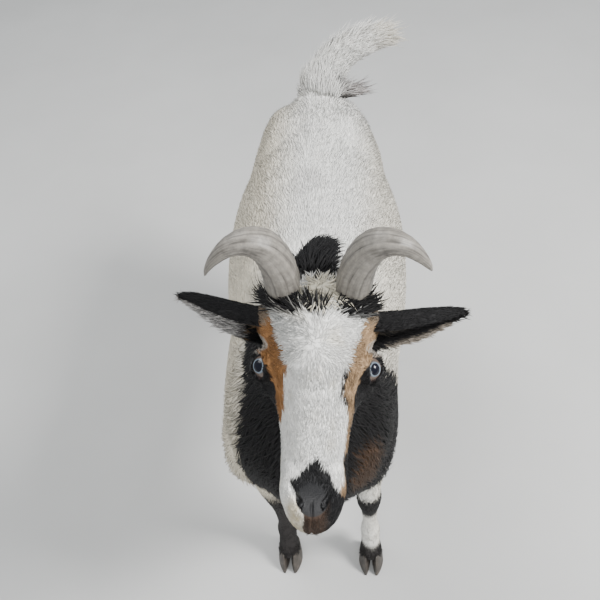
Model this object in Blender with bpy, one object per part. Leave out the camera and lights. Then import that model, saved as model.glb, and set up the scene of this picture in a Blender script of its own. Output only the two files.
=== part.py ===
"""A small horned goat, life size, standing with its head raised and its tail up.

The goat faces -Y, its left side is +X, up is +Z, and it stands on the floor at z = 0. Lengths are in metres.
The flesh with its coat is one smooth field: tubes carried along the neck, trunk, head, legs and tail, and
ellipsoids for the swellings between them. Its zero surface is meshed once and parted with thin cuts. Ears,
horns, beard, eyes and hooves are made on their own and trimmed to fit against it.
"""

import math

import bmesh
import bpy
import numpy as np
from mathutils import Matrix, Vector

# Driving dimensions. Places are given from the floor under the withers, and the whole animal hangs from one
# empty that sets its middle over the origin.
MIDDLE = (0.0175, 0.1320)  # x and y of the model's middle
GAP = 0.0003  # left between pieces that touch
CELL = 0.0080  # grid step of the flesh's mesh
FLESH_TRIANGLES = 5000  # kept of the flesh's mesh before it is parted

# Where the head is held
POLL = (0.0405, -0.0975, 0.7210)
FACE_PITCH = math.radians(24.2)  # the face's fall below the horizontal
FACE_YAW = math.radians(-1.3)  # positive turns the nose to the goat's left
FACE_ROLL = math.radians(-4.5)  # positive lifts the head's left side

# Eyes, ears and horns: places in the head's own frame, toward the nose, to the left, out of the face
EYE_PLACE = (0.0622, 0.0422, -0.0345)
EYE_RADIUS = 0.0110
EAR_ROOT = (0.033, 0.030, -0.031)
EAR_THICKNESS = 0.0048
EAR_REACH = 0.0210  # half of the folded ear's width
EAR_FLATNESS = 0.60  # the fold's depth over its width
EAR_SAG = 0.032

# Legs and feet
FORE_X = {1: 0.071, -1: 0.060}  # how far the left and the right forefoot stand from the middle
HIND_X = 0.078
KNEE_HEIGHT = 0.180
HOCK_HEIGHT = 0.212
FORE_FOOT_Y = -0.042
HIND_FOOT_Y = 0.442
CORONET_HEIGHT = 0.028
CORONET_SLOPE = math.radians(16)  # the hoof's top edge falls toward the heel
HOOF_LENGTH = 0.052
CLAW_WIDTH = 0.0185
CLAW_APART = 0.0022
BLOCK_FLARE = 0.06  # how far a leg's cutting block widens backward to the floor

WHITE = (0.72, 0.68, 0.60)
BLACK = (0.015, 0.015, 0.017)
TAN = (0.40, 0.20, 0.08)
HORN = (0.30, 0.27, 0.22)
HOOF = (0.05, 0.045, 0.04)
EYE = (0.30, 0.36, 0.42)


def unit(vector):
    return np.asarray(vector, float) / np.linalg.norm(vector)


def head_axes():
    """Unit vectors of the head's frame, as rows: toward the nose, to the goat's left, out of the face."""
    flat = math.cos(FACE_PITCH)
    forward = np.array([math.sin(FACE_YAW) * flat, -math.cos(FACE_YAW) * flat, -math.sin(FACE_PITCH)])
    level = unit(np.cross([0, 0, 1], forward))
    left = math.cos(FACE_ROLL) * level + math.sin(FACE_ROLL) * np.cross(forward, level)
    return np.array([forward, left, np.cross(forward, left)])


HEAD = head_axes()


def on_head(ahead, left, out):
    """Place of a point given in the head's frame."""
    return np.asarray(POLL) + np.array([ahead, left, out]) @ HEAD


def smooth_rows(rows, steps):
    """A Catmull-Rom curve through rows of numbers, with this many steps between two rows."""
    rows = np.asarray(rows, float)
    padded = np.vstack([2 * rows[0] - rows[1], rows, 2 * rows[-1] - rows[-2]])
    t = np.linspace(0, 1, steps, endpoint=False)[:, None, None]
    a, b, c, d = (padded[i : len(padded) - 3 + i] for i in range(4))
    curve = b + 0.5 * ((c - a) * t + (2 * a - 5 * b + 4 * c - d) * t**2 + (3 * b - a - 3 * c + d) * t**3)
    return np.vstack([curve.transpose(1, 0, 2).reshape(-1, rows.shape[1]), rows[-1]])


def ellipsoid_field(offsets, radii):
    """Distance, near enough, from an ellipsoid at the origin, for offsets along its own axes."""
    scaled = np.linalg.norm(offsets / radii, axis=1)
    slope = np.linalg.norm(offsets / np.square(radii), axis=1) + 1e-9
    return scaled * (scaled - 1) / slope


def ball(points, centre, radii, axes=None):
    offsets = points - centre
    if axes is not None:
        offsets = offsets @ np.asarray(axes).T
    return ellipsoid_field(offsets, np.asarray(radii, float))


def tube(points, rows, side, pinch=0.0, steps=4):
    """Distance, near enough, from a tube of oval section.

    Each row is a centre x, y, z, a half width along side and a half depth across it. A positive pinch
    narrows the section toward the edge that the cross product of the path's direction and side turns to.
    """
    path = smooth_rows(rows, steps)
    nearest = np.full(len(points), np.inf)
    for start, end in zip(path[:-1], path[1:]):
        run = end[:3] - start[:3]
        length = np.linalg.norm(run)
        along = run / length
        across = unit(np.cross(along, side))
        flat = np.cross(across, along)
        offset = points - start[:3]
        share = np.clip(offset @ along / length, 0, 1)
        offset = offset - share[:, None] * run
        width = start[3] + share * (end[3] - start[3])
        depth = start[4] + share * (end[4] - start[4])
        high = offset @ across
        width = width * (1 - pinch * np.clip(high / depth, -1, 1))
        local = np.stack([offset @ flat, high, offset @ along], axis=1)
        radii = np.stack([width, depth, np.minimum(width, depth)], axis=1)
        nearest = np.minimum(nearest, ellipsoid_field(local, radii))
    return nearest


def blend(first, second, reach):
    """Union of two fields with a fillet of about this reach."""
    mix = np.clip(0.5 + 0.5 * (second - first) / reach, 0, 1)
    return second + (first - second) * mix - reach * mix * (1 - mix)


def trunk_rows():
    # x, y, height of the middle, half width, half depth
    return (
        (0.012, -0.116, 0.440, 0.030, 0.040),
        (0.010, -0.098, 0.432, 0.058, 0.080),
        (0.010, -0.060, 0.424, 0.082, 0.114),
        (0.011, 0.000, 0.424, 0.098, 0.142),
        (0.010, 0.080, 0.416, 0.113, 0.144),
        (0.006, 0.170, 0.408, 0.125, 0.147),
        (0.003, 0.260, 0.406, 0.125, 0.149),
        (0.001, 0.335, 0.416, 0.106, 0.144),
        (0.000, 0.395, 0.436, 0.080, 0.130),
        (0.000, 0.440, 0.456, 0.060, 0.108),
        (0.000, 0.472, 0.472, 0.044, 0.080),
        (0.000, 0.490, 0.482, 0.028, 0.048),
    )


def neck_rows():
    # x, y, z, half width, half depth
    return (
        (0.004, 0.012, 0.455, 0.070, 0.108),
        (0.008, -0.020, 0.515, 0.066, 0.094),
        (0.016, -0.044, 0.572, 0.058, 0.076),
        (0.026, -0.062, 0.625, 0.050, 0.062),
        (0.036, -0.074, 0.664, 0.044, 0.052),
        (0.040, -0.080, 0.690, 0.038, 0.042),
    )


def head_rows():
    # ahead, out of the face, half width, half depth
    stations = (
        (-0.030, -0.044, 0.026, 0.028),
        (-0.014, -0.045, 0.036, 0.044),
        (0.015, -0.048, 0.043, 0.057),
        (0.045, -0.050, 0.045, 0.061),
        (0.070, -0.050, 0.040, 0.056),
        (0.095, -0.048, 0.033, 0.046),
        (0.120, -0.046, 0.029, 0.037),
        (0.145, -0.045, 0.0275, 0.032),
        (0.164, -0.045, 0.0255, 0.028),
        (0.177, -0.046, 0.020, 0.021),
        (0.184, -0.047, 0.012, 0.013),
    )
    return [(*on_head(ahead, 0, out), width, depth) for ahead, out, width, depth in stations]


def foreleg_rows(side):
    # x, y, z, half width, half depth, from shoulder to pastern
    foot_x = FORE_X[side]
    stations = (
        (0.070, -0.045, 0.400, 0.034, 0.056),
        (0.073, -0.018, 0.330, 0.032, 0.046),
        (0.073, -0.016, 0.270, 0.026, 0.034),
        (0.071, -0.022, 0.220, 0.021, 0.025),
        (foot_x, -0.026, 0.185, 0.021, 0.023),
        (foot_x, -0.026, 0.150, 0.0160, 0.018),
        (foot_x, -0.026, 0.105, 0.0140, 0.016),
        (foot_x, -0.026, 0.075, 0.0180, 0.020),
        (foot_x, -0.032, 0.052, 0.0175, 0.018),
        (foot_x, FORE_FOOT_Y, 0.025, 0.0200, 0.021),
    )
    return [(side * x, y, z, width, depth) for x, y, z, width, depth in stations]


def hindleg_rows(side):
    # x, y, z, half width, half depth, from hip to pastern
    stations = (
        (0.052, 0.415, 0.450, 0.036, 0.076),
        (0.066, 0.400, 0.380, 0.036, 0.078),
        (0.074, 0.400, 0.320, 0.032, 0.060),
        (0.078, 0.428, 0.270, 0.026, 0.040),
        (0.079, 0.462, 0.232, 0.021, 0.029),
        (HIND_X, 0.480, 0.205, 0.019, 0.026),
        (HIND_X, 0.476, 0.150, 0.0150, 0.0185),
        (HIND_X, 0.469, 0.105, 0.0145, 0.0175),
        (HIND_X, 0.462, 0.075, 0.0180, 0.021),
        (HIND_X, 0.452, 0.052, 0.0180, 0.019),
        (HIND_X, HIND_FOOT_Y, 0.025, 0.0200, 0.021),
    )
    return [(side * x, y, z, width, depth) for x, y, z, width, depth in stations]


def tail_rows():
    # x, y, z, half thickness, half width
    return (
        (0.000, 0.446, 0.526, 0.020, 0.024),
        (0.008, 0.474, 0.551, 0.018, 0.026),
        (0.026, 0.485, 0.575, 0.017, 0.026),
        (0.052, 0.490, 0.595, 0.015, 0.024),
        (0.081, 0.493, 0.607, 0.012, 0.020),
        (0.107, 0.495, 0.610, 0.007, 0.012),
        (0.126, 0.497, 0.603, 0.003, 0.004),
    )


def head_field(points):
    """The head without ears, horns and eyes: a tube from crown to lips, with cheeks, brows, muzzle and chin."""
    shape = tube(points, head_rows(), -HEAD[1], pinch=-0.10, steps=3)
    for side in (-1, 1):
        swellings = (
            # ahead, left, out, three half sizes, fillet
            (0.054, 0.031, -0.020, 0.026, 0.013, 0.014, 0.012),  # brow over the eye
            (0.030, 0.028, -0.078, 0.036, 0.014, 0.034, 0.020),  # cheek
            (0.100, 0.016, -0.078, 0.034, 0.009, 0.014, 0.015),  # lower jaw
            (0.160, 0.0145, -0.030, 0.018, 0.012, 0.013, 0.010),  # side of the nostril
            (0.000, 0.026, -0.014, 0.020, 0.016, 0.016, 0.012),  # horn's root
            (0.026, 0.038, -0.030, 0.018, 0.014, 0.016, 0.014),  # ear's root
        )
        for ahead, left, out, *sizes, reach in swellings:
            shape = blend(shape, ball(points, on_head(ahead, side * left, out), sizes, HEAD), reach)
    shape = blend(shape, ball(points, on_head(0.030, 0, -0.006), (0.040, 0.030, 0.016), HEAD), 0.020)
    return blend(shape, ball(points, on_head(0.158, 0, -0.066), (0.020, 0.014, 0.012), HEAD), 0.012)


def flesh_field(points):
    """The whole animal with its coat, apart from ears, horns, beard, eyes and hooves. Negative inside."""
    right = (-1, 0, 0)
    shape = tube(points, trunk_rows(), (1, 0, 0), pinch=0.20)
    for side in (-1, 1):
        shoulder = ball(points, (side * 0.056 + 0.006, -0.040, 0.420), (0.036, 0.066, 0.100))
        haunch = ball(points, (side * 0.050, 0.402, 0.440), (0.040, 0.072, 0.100))
        dewclaws = ball(points, (side * FORE_X[side], -0.004, 0.066), (0.015, 0.009, 0.008))
        hind_dewclaws = ball(points, (side * HIND_X, 0.486, 0.066), (0.015, 0.009, 0.008))
        shape = blend(shape, shoulder, 0.050)
        shape = blend(shape, haunch, 0.050)
        leg = blend(tube(points, foreleg_rows(side), right), dewclaws, 0.008)
        shape = blend(shape, leg, 0.030)
        leg = blend(tube(points, hindleg_rows(side), right), hind_dewclaws, 0.008)
        shape = blend(shape, leg, 0.035)
    shape = blend(shape, tube(points, neck_rows(), right), 0.050)
    shape = blend(shape, head_field(points), 0.025)
    shape = blend(shape, tube(points, tail_rows(), (0, 1, 0)), 0.018)
    throat = ball(points, (0.032, -0.112, 0.600), (0.026, 0.040, 0.034))
    crest = ball(points, (0.012, 0.016, 0.596), (0.018, 0.034, 0.030))
    return blend(blend(shape, throat, 0.030), crest, 0.025)


def surface(field, low, high, step):
    """The field's zero surface as points and triangles, closed wherever it doesn't meet the grid's edge.

    Each cube of the grid is split along its long diagonal in six tetrahedra. A tetrahedron with one corner
    inside, or one outside, is crossed by a triangle, and one with two of each by a quad cut in two.
    """
    axes = [np.arange(a, b + step, step) for a, b in zip(low, high)]
    grid = np.stack(np.meshgrid(*axes, indexing="ij"), axis=-1)
    places = grid.reshape(-1, 3)
    value = field(places)
    value = np.where(value < 0, np.minimum(value, -0.03 * step), np.maximum(value, 0.03 * step))
    number = np.arange(len(value)).reshape(grid.shape[:3])
    # Orders of a tetrahedron's corners that all have the same hand.
    alone = ((0, 1, 2, 3), (1, 0, 3, 2), (2, 3, 0, 1), (3, 2, 1, 0))
    paired = ((0, 1, 2, 3), (0, 2, 3, 1), (0, 3, 1, 2), (1, 2, 0, 3), (1, 3, 2, 0), (2, 3, 0, 1))
    crossings = []
    for first in range(3):
        for second in (1, 2):
            walk = np.zeros((4, 3), int)
            walk[1:, first] = 1
            walk[2:, (first + second) % 3] = 1
            walk[3] = 1
            if second == 2:
                walk = walk[[0, 1, 3, 2]]
            spans = [tuple(slice(o, o + n - 1) for o, n in zip(place, number.shape)) for place in walk]
            corners = np.stack([number[span].reshape(-1) for span in spans], axis=1)
            inside = value[corners] < 0
            crossed = inside.any(axis=1) & ~inside.all(axis=1)
            corners, inside = corners[crossed], inside[crossed]
            held = inside.sum(axis=1)
            for a, b, c, d in alone:
                for flag, order in ((True, (b, c, d)), (False, (b, d, c))):
                    rows = (held == (1 if flag else 3)) & (inside[:, a] == flag)
                    crossings.append(np.stack([corners[rows][:, [a, other]] for other in order], axis=1))
            for a, b, c, d in paired:
                rows = corners[(held == 2) & inside[:, a] & inside[:, b]]
                ac, ad, bd, bc = (rows[:, pair] for pair in ([a, c], [a, d], [b, d], [b, c]))
                crossings.append(np.stack([ac, ad, bd], axis=1))
                crossings.append(np.stack([ac, bd, bc], axis=1))
    edges = np.sort(np.vstack(crossings), axis=2)
    code = edges[..., 0] * len(value) + edges[..., 1]
    kept, triangles = np.unique(code, return_inverse=True)
    near, far = kept // len(value), kept % len(value)
    share = (value[near] / (value[near] - value[far]))[:, None]
    return places[near] + (places[far] - places[near]) * share, triangles.reshape(-1, 3)


def material(name, colour, roughness):
    made = bpy.data.materials.new(name)
    made.use_nodes = True
    shader = made.node_tree.nodes["Principled BSDF"]
    shader.inputs["Base Color"].default_value = (*colour, 1)
    shader.inputs["Roughness"].default_value = roughness
    return made


def add_object(name, mesh, colour, roughness=0.9):
    """Put a mesh in the scene, under the empty that carries the animal."""
    mesh.materials.clear()
    mesh.materials.append(material(name, colour, roughness))
    mesh.shade_smooth()
    made = bpy.data.objects.new(name, mesh)
    made.parent = bpy.data.objects["goat"]
    bpy.context.scene.collection.objects.link(made)
    return made


def cutter(name, mesh):
    made = add_object(name, mesh, (1, 0, 0))
    made.hide_render = True
    made.display_type = "WIRE"
    return made


def boolean(made, other, operation):
    modifier = made.modifiers.new(operation.title() + " " + other.name, "BOOLEAN")
    modifier.operation = operation
    modifier.object = other


def mesh_of(name, points, faces):
    mesh = bpy.data.meshes.new(name)
    mesh.from_pydata(np.asarray(points).tolist(), [], [list(map(int, face)) for face in faces])
    mesh.update()
    return mesh


def ring_mesh(name, rings):
    """A closed mesh through rings of points, each joined to the next, with both ends filled."""
    count, around = len(rings), len(rings[0])
    index = np.arange(count * around).reshape(count, around)
    turned = np.roll(index, -1, axis=1)
    walls = np.stack([index[:-1], turned[:-1], turned[1:], index[1:]], axis=-1).reshape(-1, 4)
    work = bmesh.new()
    mesh = mesh_of(name, np.concatenate(rings), [*walls, index[0][::-1], index[-1]])
    work.from_mesh(mesh)
    bmesh.ops.triangulate(work, faces=[face for face in work.faces if len(face.verts) > 4])
    bmesh.ops.recalc_face_normals(work, faces=work.faces)
    work.to_mesh(mesh)
    work.free()
    return mesh


def oval_rings(rows, side, around):
    """Oval rings along rows of x, y, z, half width along side and half depth across it."""
    rows = np.asarray(rows, float)
    runs = np.gradient(rows[:, :3], axis=0)
    turn = np.linspace(0, 2 * math.pi, around, endpoint=False)
    rings = []
    for row, run in zip(rows, runs):
        across = unit(np.cross(run, side))
        flat = unit(np.cross(across, run))
        oval = np.outer(np.cos(turn) * row[3], flat) + np.outer(np.sin(turn) * row[4], across)
        rings.append(row[:3] + oval)
    return rings


def block_beyond(name, point, toward, size=0.9):
    """A cutting block whose flat face holds the point and which fills the space that toward points into."""
    work = bmesh.new()
    bmesh.ops.create_cube(work, size=size)
    turn = Vector(toward).to_track_quat("Z", "Y").to_matrix().to_4x4()
    place = Matrix.Translation(Vector(point) + Vector(toward).normalized() * size / 2)
    bmesh.ops.transform(work, matrix=place @ turn, verts=work.verts)
    mesh = bpy.data.meshes.new(name)
    work.to_mesh(mesh)
    work.free()
    return cutter(name, mesh)


def leg_block(name, side, middle, radius, inner):
    """A cutting block round a leg: a round-topped wall seen from the side, from the floor up, outside inner."""
    turn = np.linspace(0, math.pi, 9)
    outline = [(middle[0] + radius * math.cos(t), middle[1] + radius * math.sin(t)) for t in turn]
    outline = [(middle[0] + radius + BLOCK_FLARE, -0.05), *outline, (middle[0] - radius, -0.05)]
    rings = [[(side * x, y, z) for y, z in outline] for x in (inner, 0.25)]
    return cutter(name, ring_mesh(name, [np.array(ring) for ring in rings]))


def flesh_part(name, whole, steps, colour=WHITE):
    """A named part of the flesh: the whole, with each (operation, block) of steps applied in turn."""
    made = add_object(name, whole.copy(), colour)
    for operation, block in steps:
        boolean(made, block, operation)
    return made


def whole_flesh():
    """The flesh's surface as one closed mesh, thinned to the faces that its forms need."""
    points, triangles = surface(flesh_field, (-0.17, -0.30, -0.02), (0.18, 0.56, 0.80), CELL)
    made = cutter("whole_flesh", mesh_of("whole_flesh", points, triangles))
    thin = made.modifiers.new("Thin", "DECIMATE")
    thin.ratio = FLESH_TRIANGLES / len(triangles)
    bpy.context.view_layer.update()
    graph = bpy.context.evaluated_depsgraph_get()
    return bpy.data.meshes.new_from_object(made.evaluated_get(graph))


def swollen(mesh, by):
    """A copy of a mesh moved out along its normals."""
    grown = mesh.copy()
    normals = [vertex.normal.copy() for vertex in grown.vertices]
    for vertex, normal in zip(grown.vertices, normals):
        vertex.co += normal * by
    return grown


def socket_ball(name, side, radius, faces_round):
    """A ball at an eye's place."""
    work = bmesh.new()
    bmesh.ops.create_uvsphere(work, u_segments=faces_round, v_segments=faces_round // 2, radius=radius)
    turn = Vector(HEAD[1] * side).to_track_quat("Z", "Y").to_matrix().to_4x4()
    ahead, left, out = EYE_PLACE
    place = Matrix.Translation(on_head(ahead, side * left, out))
    bmesh.ops.transform(work, matrix=place @ turn, verts=work.verts)
    mesh = bpy.data.meshes.new(name)
    work.to_mesh(mesh)
    work.free()
    return mesh


def ear_mesh(name, side, tip):
    """A long leaf folded into a trough that opens toward the nose, its lower wall longer than its upper one.

    Its section is part of an oval, from the lower rim round the back to the upper rim, with a thickness that
    thins to both rims. tip is the tip's place in the head's frame.
    """
    steps, around = 9, 7
    root = np.array([EAR_ROOT[0], side * EAR_ROOT[1], EAR_ROOT[2]])
    rings = []
    for share in np.linspace(0, 1, steps):
        swell = math.sqrt(1 - share**3.5) * (0.76 + 0.7 * share * (1 - share)) + 0.02
        reach = EAR_REACH * swell
        lower = math.radians(-128 + 40 * share)
        upper = math.radians(92 - 12 * share)
        turn = np.linspace(lower, upper, around)
        rim = np.abs(np.linspace(-1, 1, around)) ** 3
        thick = EAR_THICKNESS * (1 - 0.5 * share) * (1 - 0.6 * rim)
        centre = root + (np.array(tip) - root) * share + (EAR_SAG * share * (1 - share), 0, 0)
        walls = []
        for offset in (0.5, -0.5):
            ahead = -np.cos(turn) * (reach + offset * thick)
            out = np.sin(turn) * (reach * EAR_FLATNESS + offset * thick)
            walls.append([on_head(centre[0] + a, centre[1], centre[2] + o) for a, o in zip(ahead, out)])
        rings.append(np.array(walls[0] + walls[1][::-1]))
    return ring_mesh(name, rings)


def horn_rows(side, lean):
    # toward the nose, to the side, out of the face, half depth toward the nose, half width across the curve
    stations = (
        (0.0045, 0.0262, -0.014, 0.0175, 0.0145),
        (0.0010, 0.0285, 0.006, 0.0175, 0.0145),
        (-0.0070, 0.0325, 0.030, 0.0160, 0.0132),
        (-0.0120, 0.0405, 0.048, 0.0138, 0.0114),
        (-0.0120, 0.0525, 0.057, 0.0110, 0.0094),
        (-0.0085, 0.0655, 0.056, 0.0080, 0.0070),
        (-0.0035, 0.0765, 0.047, 0.0052, 0.0046),
        (0.0000, 0.0835, 0.036, 0.0027, 0.0025),
        (0.0015, 0.0865, 0.028, 0.0009, 0.0008),
    )
    last = len(stations) - 1
    return [
        (*on_head(ahead + lean * (i / last) ** 2, side * left, out), width, depth)
        for i, (ahead, left, out, width, depth) in enumerate(stations)
    ]


def claw_rings(side, claw, middle_x, foot_y, around=12):
    """One claw of a cloven foot: a D-shaped flat sole, flat toward its fellow, whose wall leans back upward."""
    turn = np.linspace(0, 2 * math.pi, around, endpoint=False)
    outward = np.where(np.cos(turn) > 0, np.cos(turn) * 0.62, np.cos(turn) * 0.38) * CLAW_WIDTH
    lengthwise = np.sin(turn) * np.abs(np.sin(turn)) ** 0.15 * HOOF_LENGTH / 2
    taper = 1 - 0.35 * np.clip(-np.sin(turn), 0, 1) ** 2
    rings = []
    for height in np.linspace(0, 1, 3):
        shrink = 1 - 0.16 * height
        x = middle_x + claw * (CLAW_APART / 2 + 0.38 * CLAW_WIDTH + outward * taper * shrink)
        y = foot_y - 0.006 + lengthwise * shrink + 0.007 * height
        top = CORONET_HEIGHT - GAP - (y - foot_y) * math.tan(CORONET_SLOPE)
        rings.append(np.stack([side * x, y, top * height], axis=1))
    return rings


def add_flesh(whole):
    """Part the flesh into head, neck, trunk, tail and the upper and lower length of each leg."""
    joints = {
        "neck": ((0.0, -0.060, 0.520), (0, -0.644, 0.765)),
        "head": ((0.0, -0.078, 0.652), (0, -0.72, 0.69)),
        "tail": ((0.004, 0.473, 0.553), (0.25, 0.52, 0.80)),
    }
    beyond, short = {}, {}
    for name, (point, toward) in joints.items():
        beyond[name] = block_beyond("beyond_" + name, np.add(point, unit(toward) * GAP / 2), toward)
        short[name] = block_beyond("short_of_" + name, np.subtract(point, unit(toward) * GAP / 2), toward)
    flesh_part("head", whole, [("INTERSECT", beyond["head"])] + socket_steps())
    flesh_part("neck", whole, [("INTERSECT", beyond["neck"]), ("DIFFERENCE", short["head"])], BLACK)
    flesh_part("tail", whole, [("INTERSECT", beyond["tail"])])
    trunk_steps = [("DIFFERENCE", short["neck"]), ("DIFFERENCE", short["tail"])]
    legs = {
        # middle and radius of the block's round top, its inner side, where the leg divides, the foot
        "foreleg": ((-0.022, 0.338), 0.064, 0.026, KNEE_HEIGHT, FORE_FOOT_Y),
        "hindleg": ((0.408, 0.405), 0.086, 0.020, HOCK_HEIGHT, HIND_FOOT_Y),
    }
    for leg, (middle, radius, inner, divide, foot_y) in legs.items():
        upper = block_beyond(leg + "_upper_space", (0, middle[0], divide + GAP / 2), (0, 0, 1))
        lower = block_beyond(leg + "_lower_space", (0, middle[0], divide - GAP / 2), (0, 0, -1))
        coronet = (0, foot_y, CORONET_HEIGHT)
        up = (0, math.sin(CORONET_SLOPE), math.cos(CORONET_SLOPE))
        above_hoof = block_beyond(leg + "_above_hoof", coronet, up)
        for side, hand in ((1, "left"), (-1, "right")):
            name = f"{leg}_{hand}"
            inside = leg_block(name + "_space", side, middle, radius, inner)
            round_it = leg_block(name + "_clear", side, middle, radius + GAP, inner - GAP)
            trunk_steps.append(("DIFFERENCE", round_it))
            flesh_part(name + "_upper", whole, [("INTERSECT", inside), ("INTERSECT", upper)])
            steps = [("INTERSECT", inside), ("INTERSECT", lower), ("INTERSECT", above_hoof)]
            flesh_part(name + "_lower", whole, steps)
    flesh_part("trunk", whole, trunk_steps)


def socket_steps():
    """The cuts that leave room for the eyes."""
    steps = []
    for side, hand in ((1, "left"), (-1, "right")):
        ball_cut = cutter("socket_" + hand, socket_ball("socket_" + hand, side, EYE_RADIUS + GAP, 14))
        steps.append(("DIFFERENCE", ball_cut))
    return steps


def add_head_pieces(clearance):
    """Eyes, ears, horns and beard, each trimmed a gap away from the flesh."""
    sides = {
        # side, the ear's tip in the head's frame, how far the horn's tip leans toward the nose
        "left": (1, (0.015, 0.1225, -0.032), -0.004),
        "right": (-1, (0.006, -0.1190, -0.034), 0.004),
    }
    for hand, (side, ear_tip, lean) in sides.items():
        add_object("eye_" + hand, socket_ball("eye_" + hand, side, EYE_RADIUS, 14), EYE, 0.1)
        ear = add_object("ear_" + hand, ear_mesh("ear_" + hand, side, ear_tip), BLACK)
        rings = oval_rings(smooth_rows(horn_rows(side, lean), 2), HEAD[0], 9)
        horn = add_object("horn_" + hand, ring_mesh("horn_" + hand, rings), HORN, 0.55)
        boolean(ear, clearance, "DIFFERENCE")
        boolean(horn, clearance, "DIFFERENCE")
    beard_rows = (
        (*on_head(0.158, 0, -0.064), 0.009, 0.009),
        (*on_head(0.166, 0, -0.080), 0.0085, 0.008),
        (*on_head(0.176, 0.001, -0.096), 0.006, 0.005),
        (*on_head(0.184, 0.002, -0.112), 0.0012, 0.0012),
    )
    beard = add_object("beard", ring_mesh("beard", oval_rings(beard_rows, HEAD[1], 10)), WHITE)
    boolean(beard, clearance, "DIFFERENCE")


def add_hooves():
    """Two claws under each leg, their soles flat on the floor."""
    feet = {"fore": (FORE_X, FORE_FOOT_Y), "hind": ({1: HIND_X, -1: HIND_X}, HIND_FOOT_Y)}
    for foot, (out, y) in feet.items():
        for side, hand in ((1, "left"), (-1, "right")):
            for claw, place in ((1, "outer"), (-1, "inner")):
                name = f"hoof_{foot}_{hand}_{place}"
                add_object(name, ring_mesh(name, claw_rings(side, claw, out[side], y)), HOOF, 0.5)


def main():
    for made in list(bpy.data.objects):
        bpy.data.objects.remove(made)
    goat = bpy.data.objects.new("goat", None)
    goat.location = (-MIDDLE[0], -MIDDLE[1], 0)
    bpy.context.scene.collection.objects.link(goat)
    whole = whole_flesh()
    add_flesh(whole)
    add_head_pieces(cutter("clearance", swollen(whole, GAP * 1.5)))
    add_hooves()


main()
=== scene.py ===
"""Looks of a small horned goat: skin, coat, eyes, horns and hooves, and a plain stage.

Laid out as an add-on. The goat faces -Y and its left side is +X. Lengths are in metres, but in
millimetres in tables.
"""

import math

import bmesh
import bpy
import numpy as np
from bpy.props import FloatProperty, FloatVectorProperty, IntProperty, PointerProperty
from mathutils import Matrix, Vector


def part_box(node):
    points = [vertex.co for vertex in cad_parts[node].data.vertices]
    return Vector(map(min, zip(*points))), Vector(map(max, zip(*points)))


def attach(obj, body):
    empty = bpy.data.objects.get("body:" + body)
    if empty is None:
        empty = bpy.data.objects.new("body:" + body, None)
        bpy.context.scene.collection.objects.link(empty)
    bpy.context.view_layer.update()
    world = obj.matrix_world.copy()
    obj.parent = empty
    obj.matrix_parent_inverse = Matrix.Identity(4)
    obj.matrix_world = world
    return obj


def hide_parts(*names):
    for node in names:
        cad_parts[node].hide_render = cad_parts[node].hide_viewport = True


bl_info = {
    "name": "Horned goat model",
    "version": (1, 0, 0),
    "blender": (4, 5, 0),
    "location": "3D View > Sidebar > Goat",
    "description": "Builds the skin, coat, eyes, horns and hooves of a small horned goat",
    "category": "Object",
}

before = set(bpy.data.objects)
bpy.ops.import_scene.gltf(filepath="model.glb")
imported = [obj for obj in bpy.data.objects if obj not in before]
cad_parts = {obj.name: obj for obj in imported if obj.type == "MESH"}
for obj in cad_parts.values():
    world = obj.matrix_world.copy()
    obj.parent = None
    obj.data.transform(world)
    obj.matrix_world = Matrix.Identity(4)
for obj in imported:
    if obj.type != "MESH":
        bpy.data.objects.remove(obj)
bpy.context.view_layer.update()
SIDES = {"left": 1, "right": -1}

# The goat's own frame starts on the floor under its withers. MIDDLE carries it to the row's frame.
MIDDLE = np.array([0.0175, 0.132, 0.0])

# The head's frame: toward the nose, to the goat's left, out of the face, from the poll
POLL = np.array([0.0405, -0.0975, 0.721])
FACE_PITCH = math.radians(24.2)
FACE_YAW = math.radians(-1.3)
FACE_ROLL = math.radians(-4.5)

EYE_PLACE = np.array([0.0622, 0.0422, -0.0345])
EYE_RADIUS = 0.011
LID_REACH = EYE_RADIUS + 0.006  # the lids lie this near the eyeball's centre
GAZE = np.array([0.22, 0.5, 0.84])  # where the pupil points, for the left eye, in the head's frame
LID_FACING = np.array([0.19, 0.53, 0.82])  # where the opening between the lids faces
LID_LENGTH = 0.0098  # half the opening's length
UPPER_LID = 0.0068  # the lids' heights from the opening's middle line
LOWER_LID = 0.006
LIP_FRONT = 0.172  # how far ahead of the poll the lips meet

EAR_ROOT = (0.033, 0.03, -0.031)
EAR_TIP = {1: (0.015, 0.1225, -0.032), -1: (0.006, -0.119, -0.034)}
EAR_REACH = 0.0205  # half width of its oval, before the outline narrows it
EAR_FLATNESS = 0.6  # the oval's depth over its width
EAR_SAG = 0.032  # its middle bows toward the nose by a quarter of this
EAR_THICKNESS = 0.0024

# How far out the feet stand on the left and the right, and how far back
FORE_X = {1: 0.071, -1: 0.06}
HIND_X = {1: 0.078, -1: 0.078}
FORE_FOOT_Y = -0.042
HIND_FOOT_Y = 0.442
CORONET_HEIGHT = 0.028  # top of the hooves over the foot's middle
CORONET_SLOPE = math.radians(16)
HOOF_LENGTH = 0.052
CLAW_WIDTH = 0.0185
CLAW_APART = 0.0022  # the gap between the two claws of a foot

SKIN_BOX = ((-0.16, -0.275, -0.01), (0.17, 0.53, 0.78))  # the field's grid spans it
SKIN_STEP = 0.006
BAKE_MAP = "OFBake"
BAKE_PATCH = 0.003  # side of a lock's patch on that map
ROOT_DEPTH = 0.0004  # how deep in the skin a lock starts, at most
LOCK_RIDGE = 0.19  # a lock's height over its width
# Painted shade: locks are darkened toward their roots, for the shadow deep in the coat
ROOT_PAINTED_SHADE = 0.86  # how dark a lock is at its root
BLEND_REACH = 0.05  # no fillet is wider, so a field further off than this has no effect
FLESH_NODES = [
    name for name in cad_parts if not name.startswith(("hoof_", "eye_", "horn_", "beard"))
]

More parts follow.
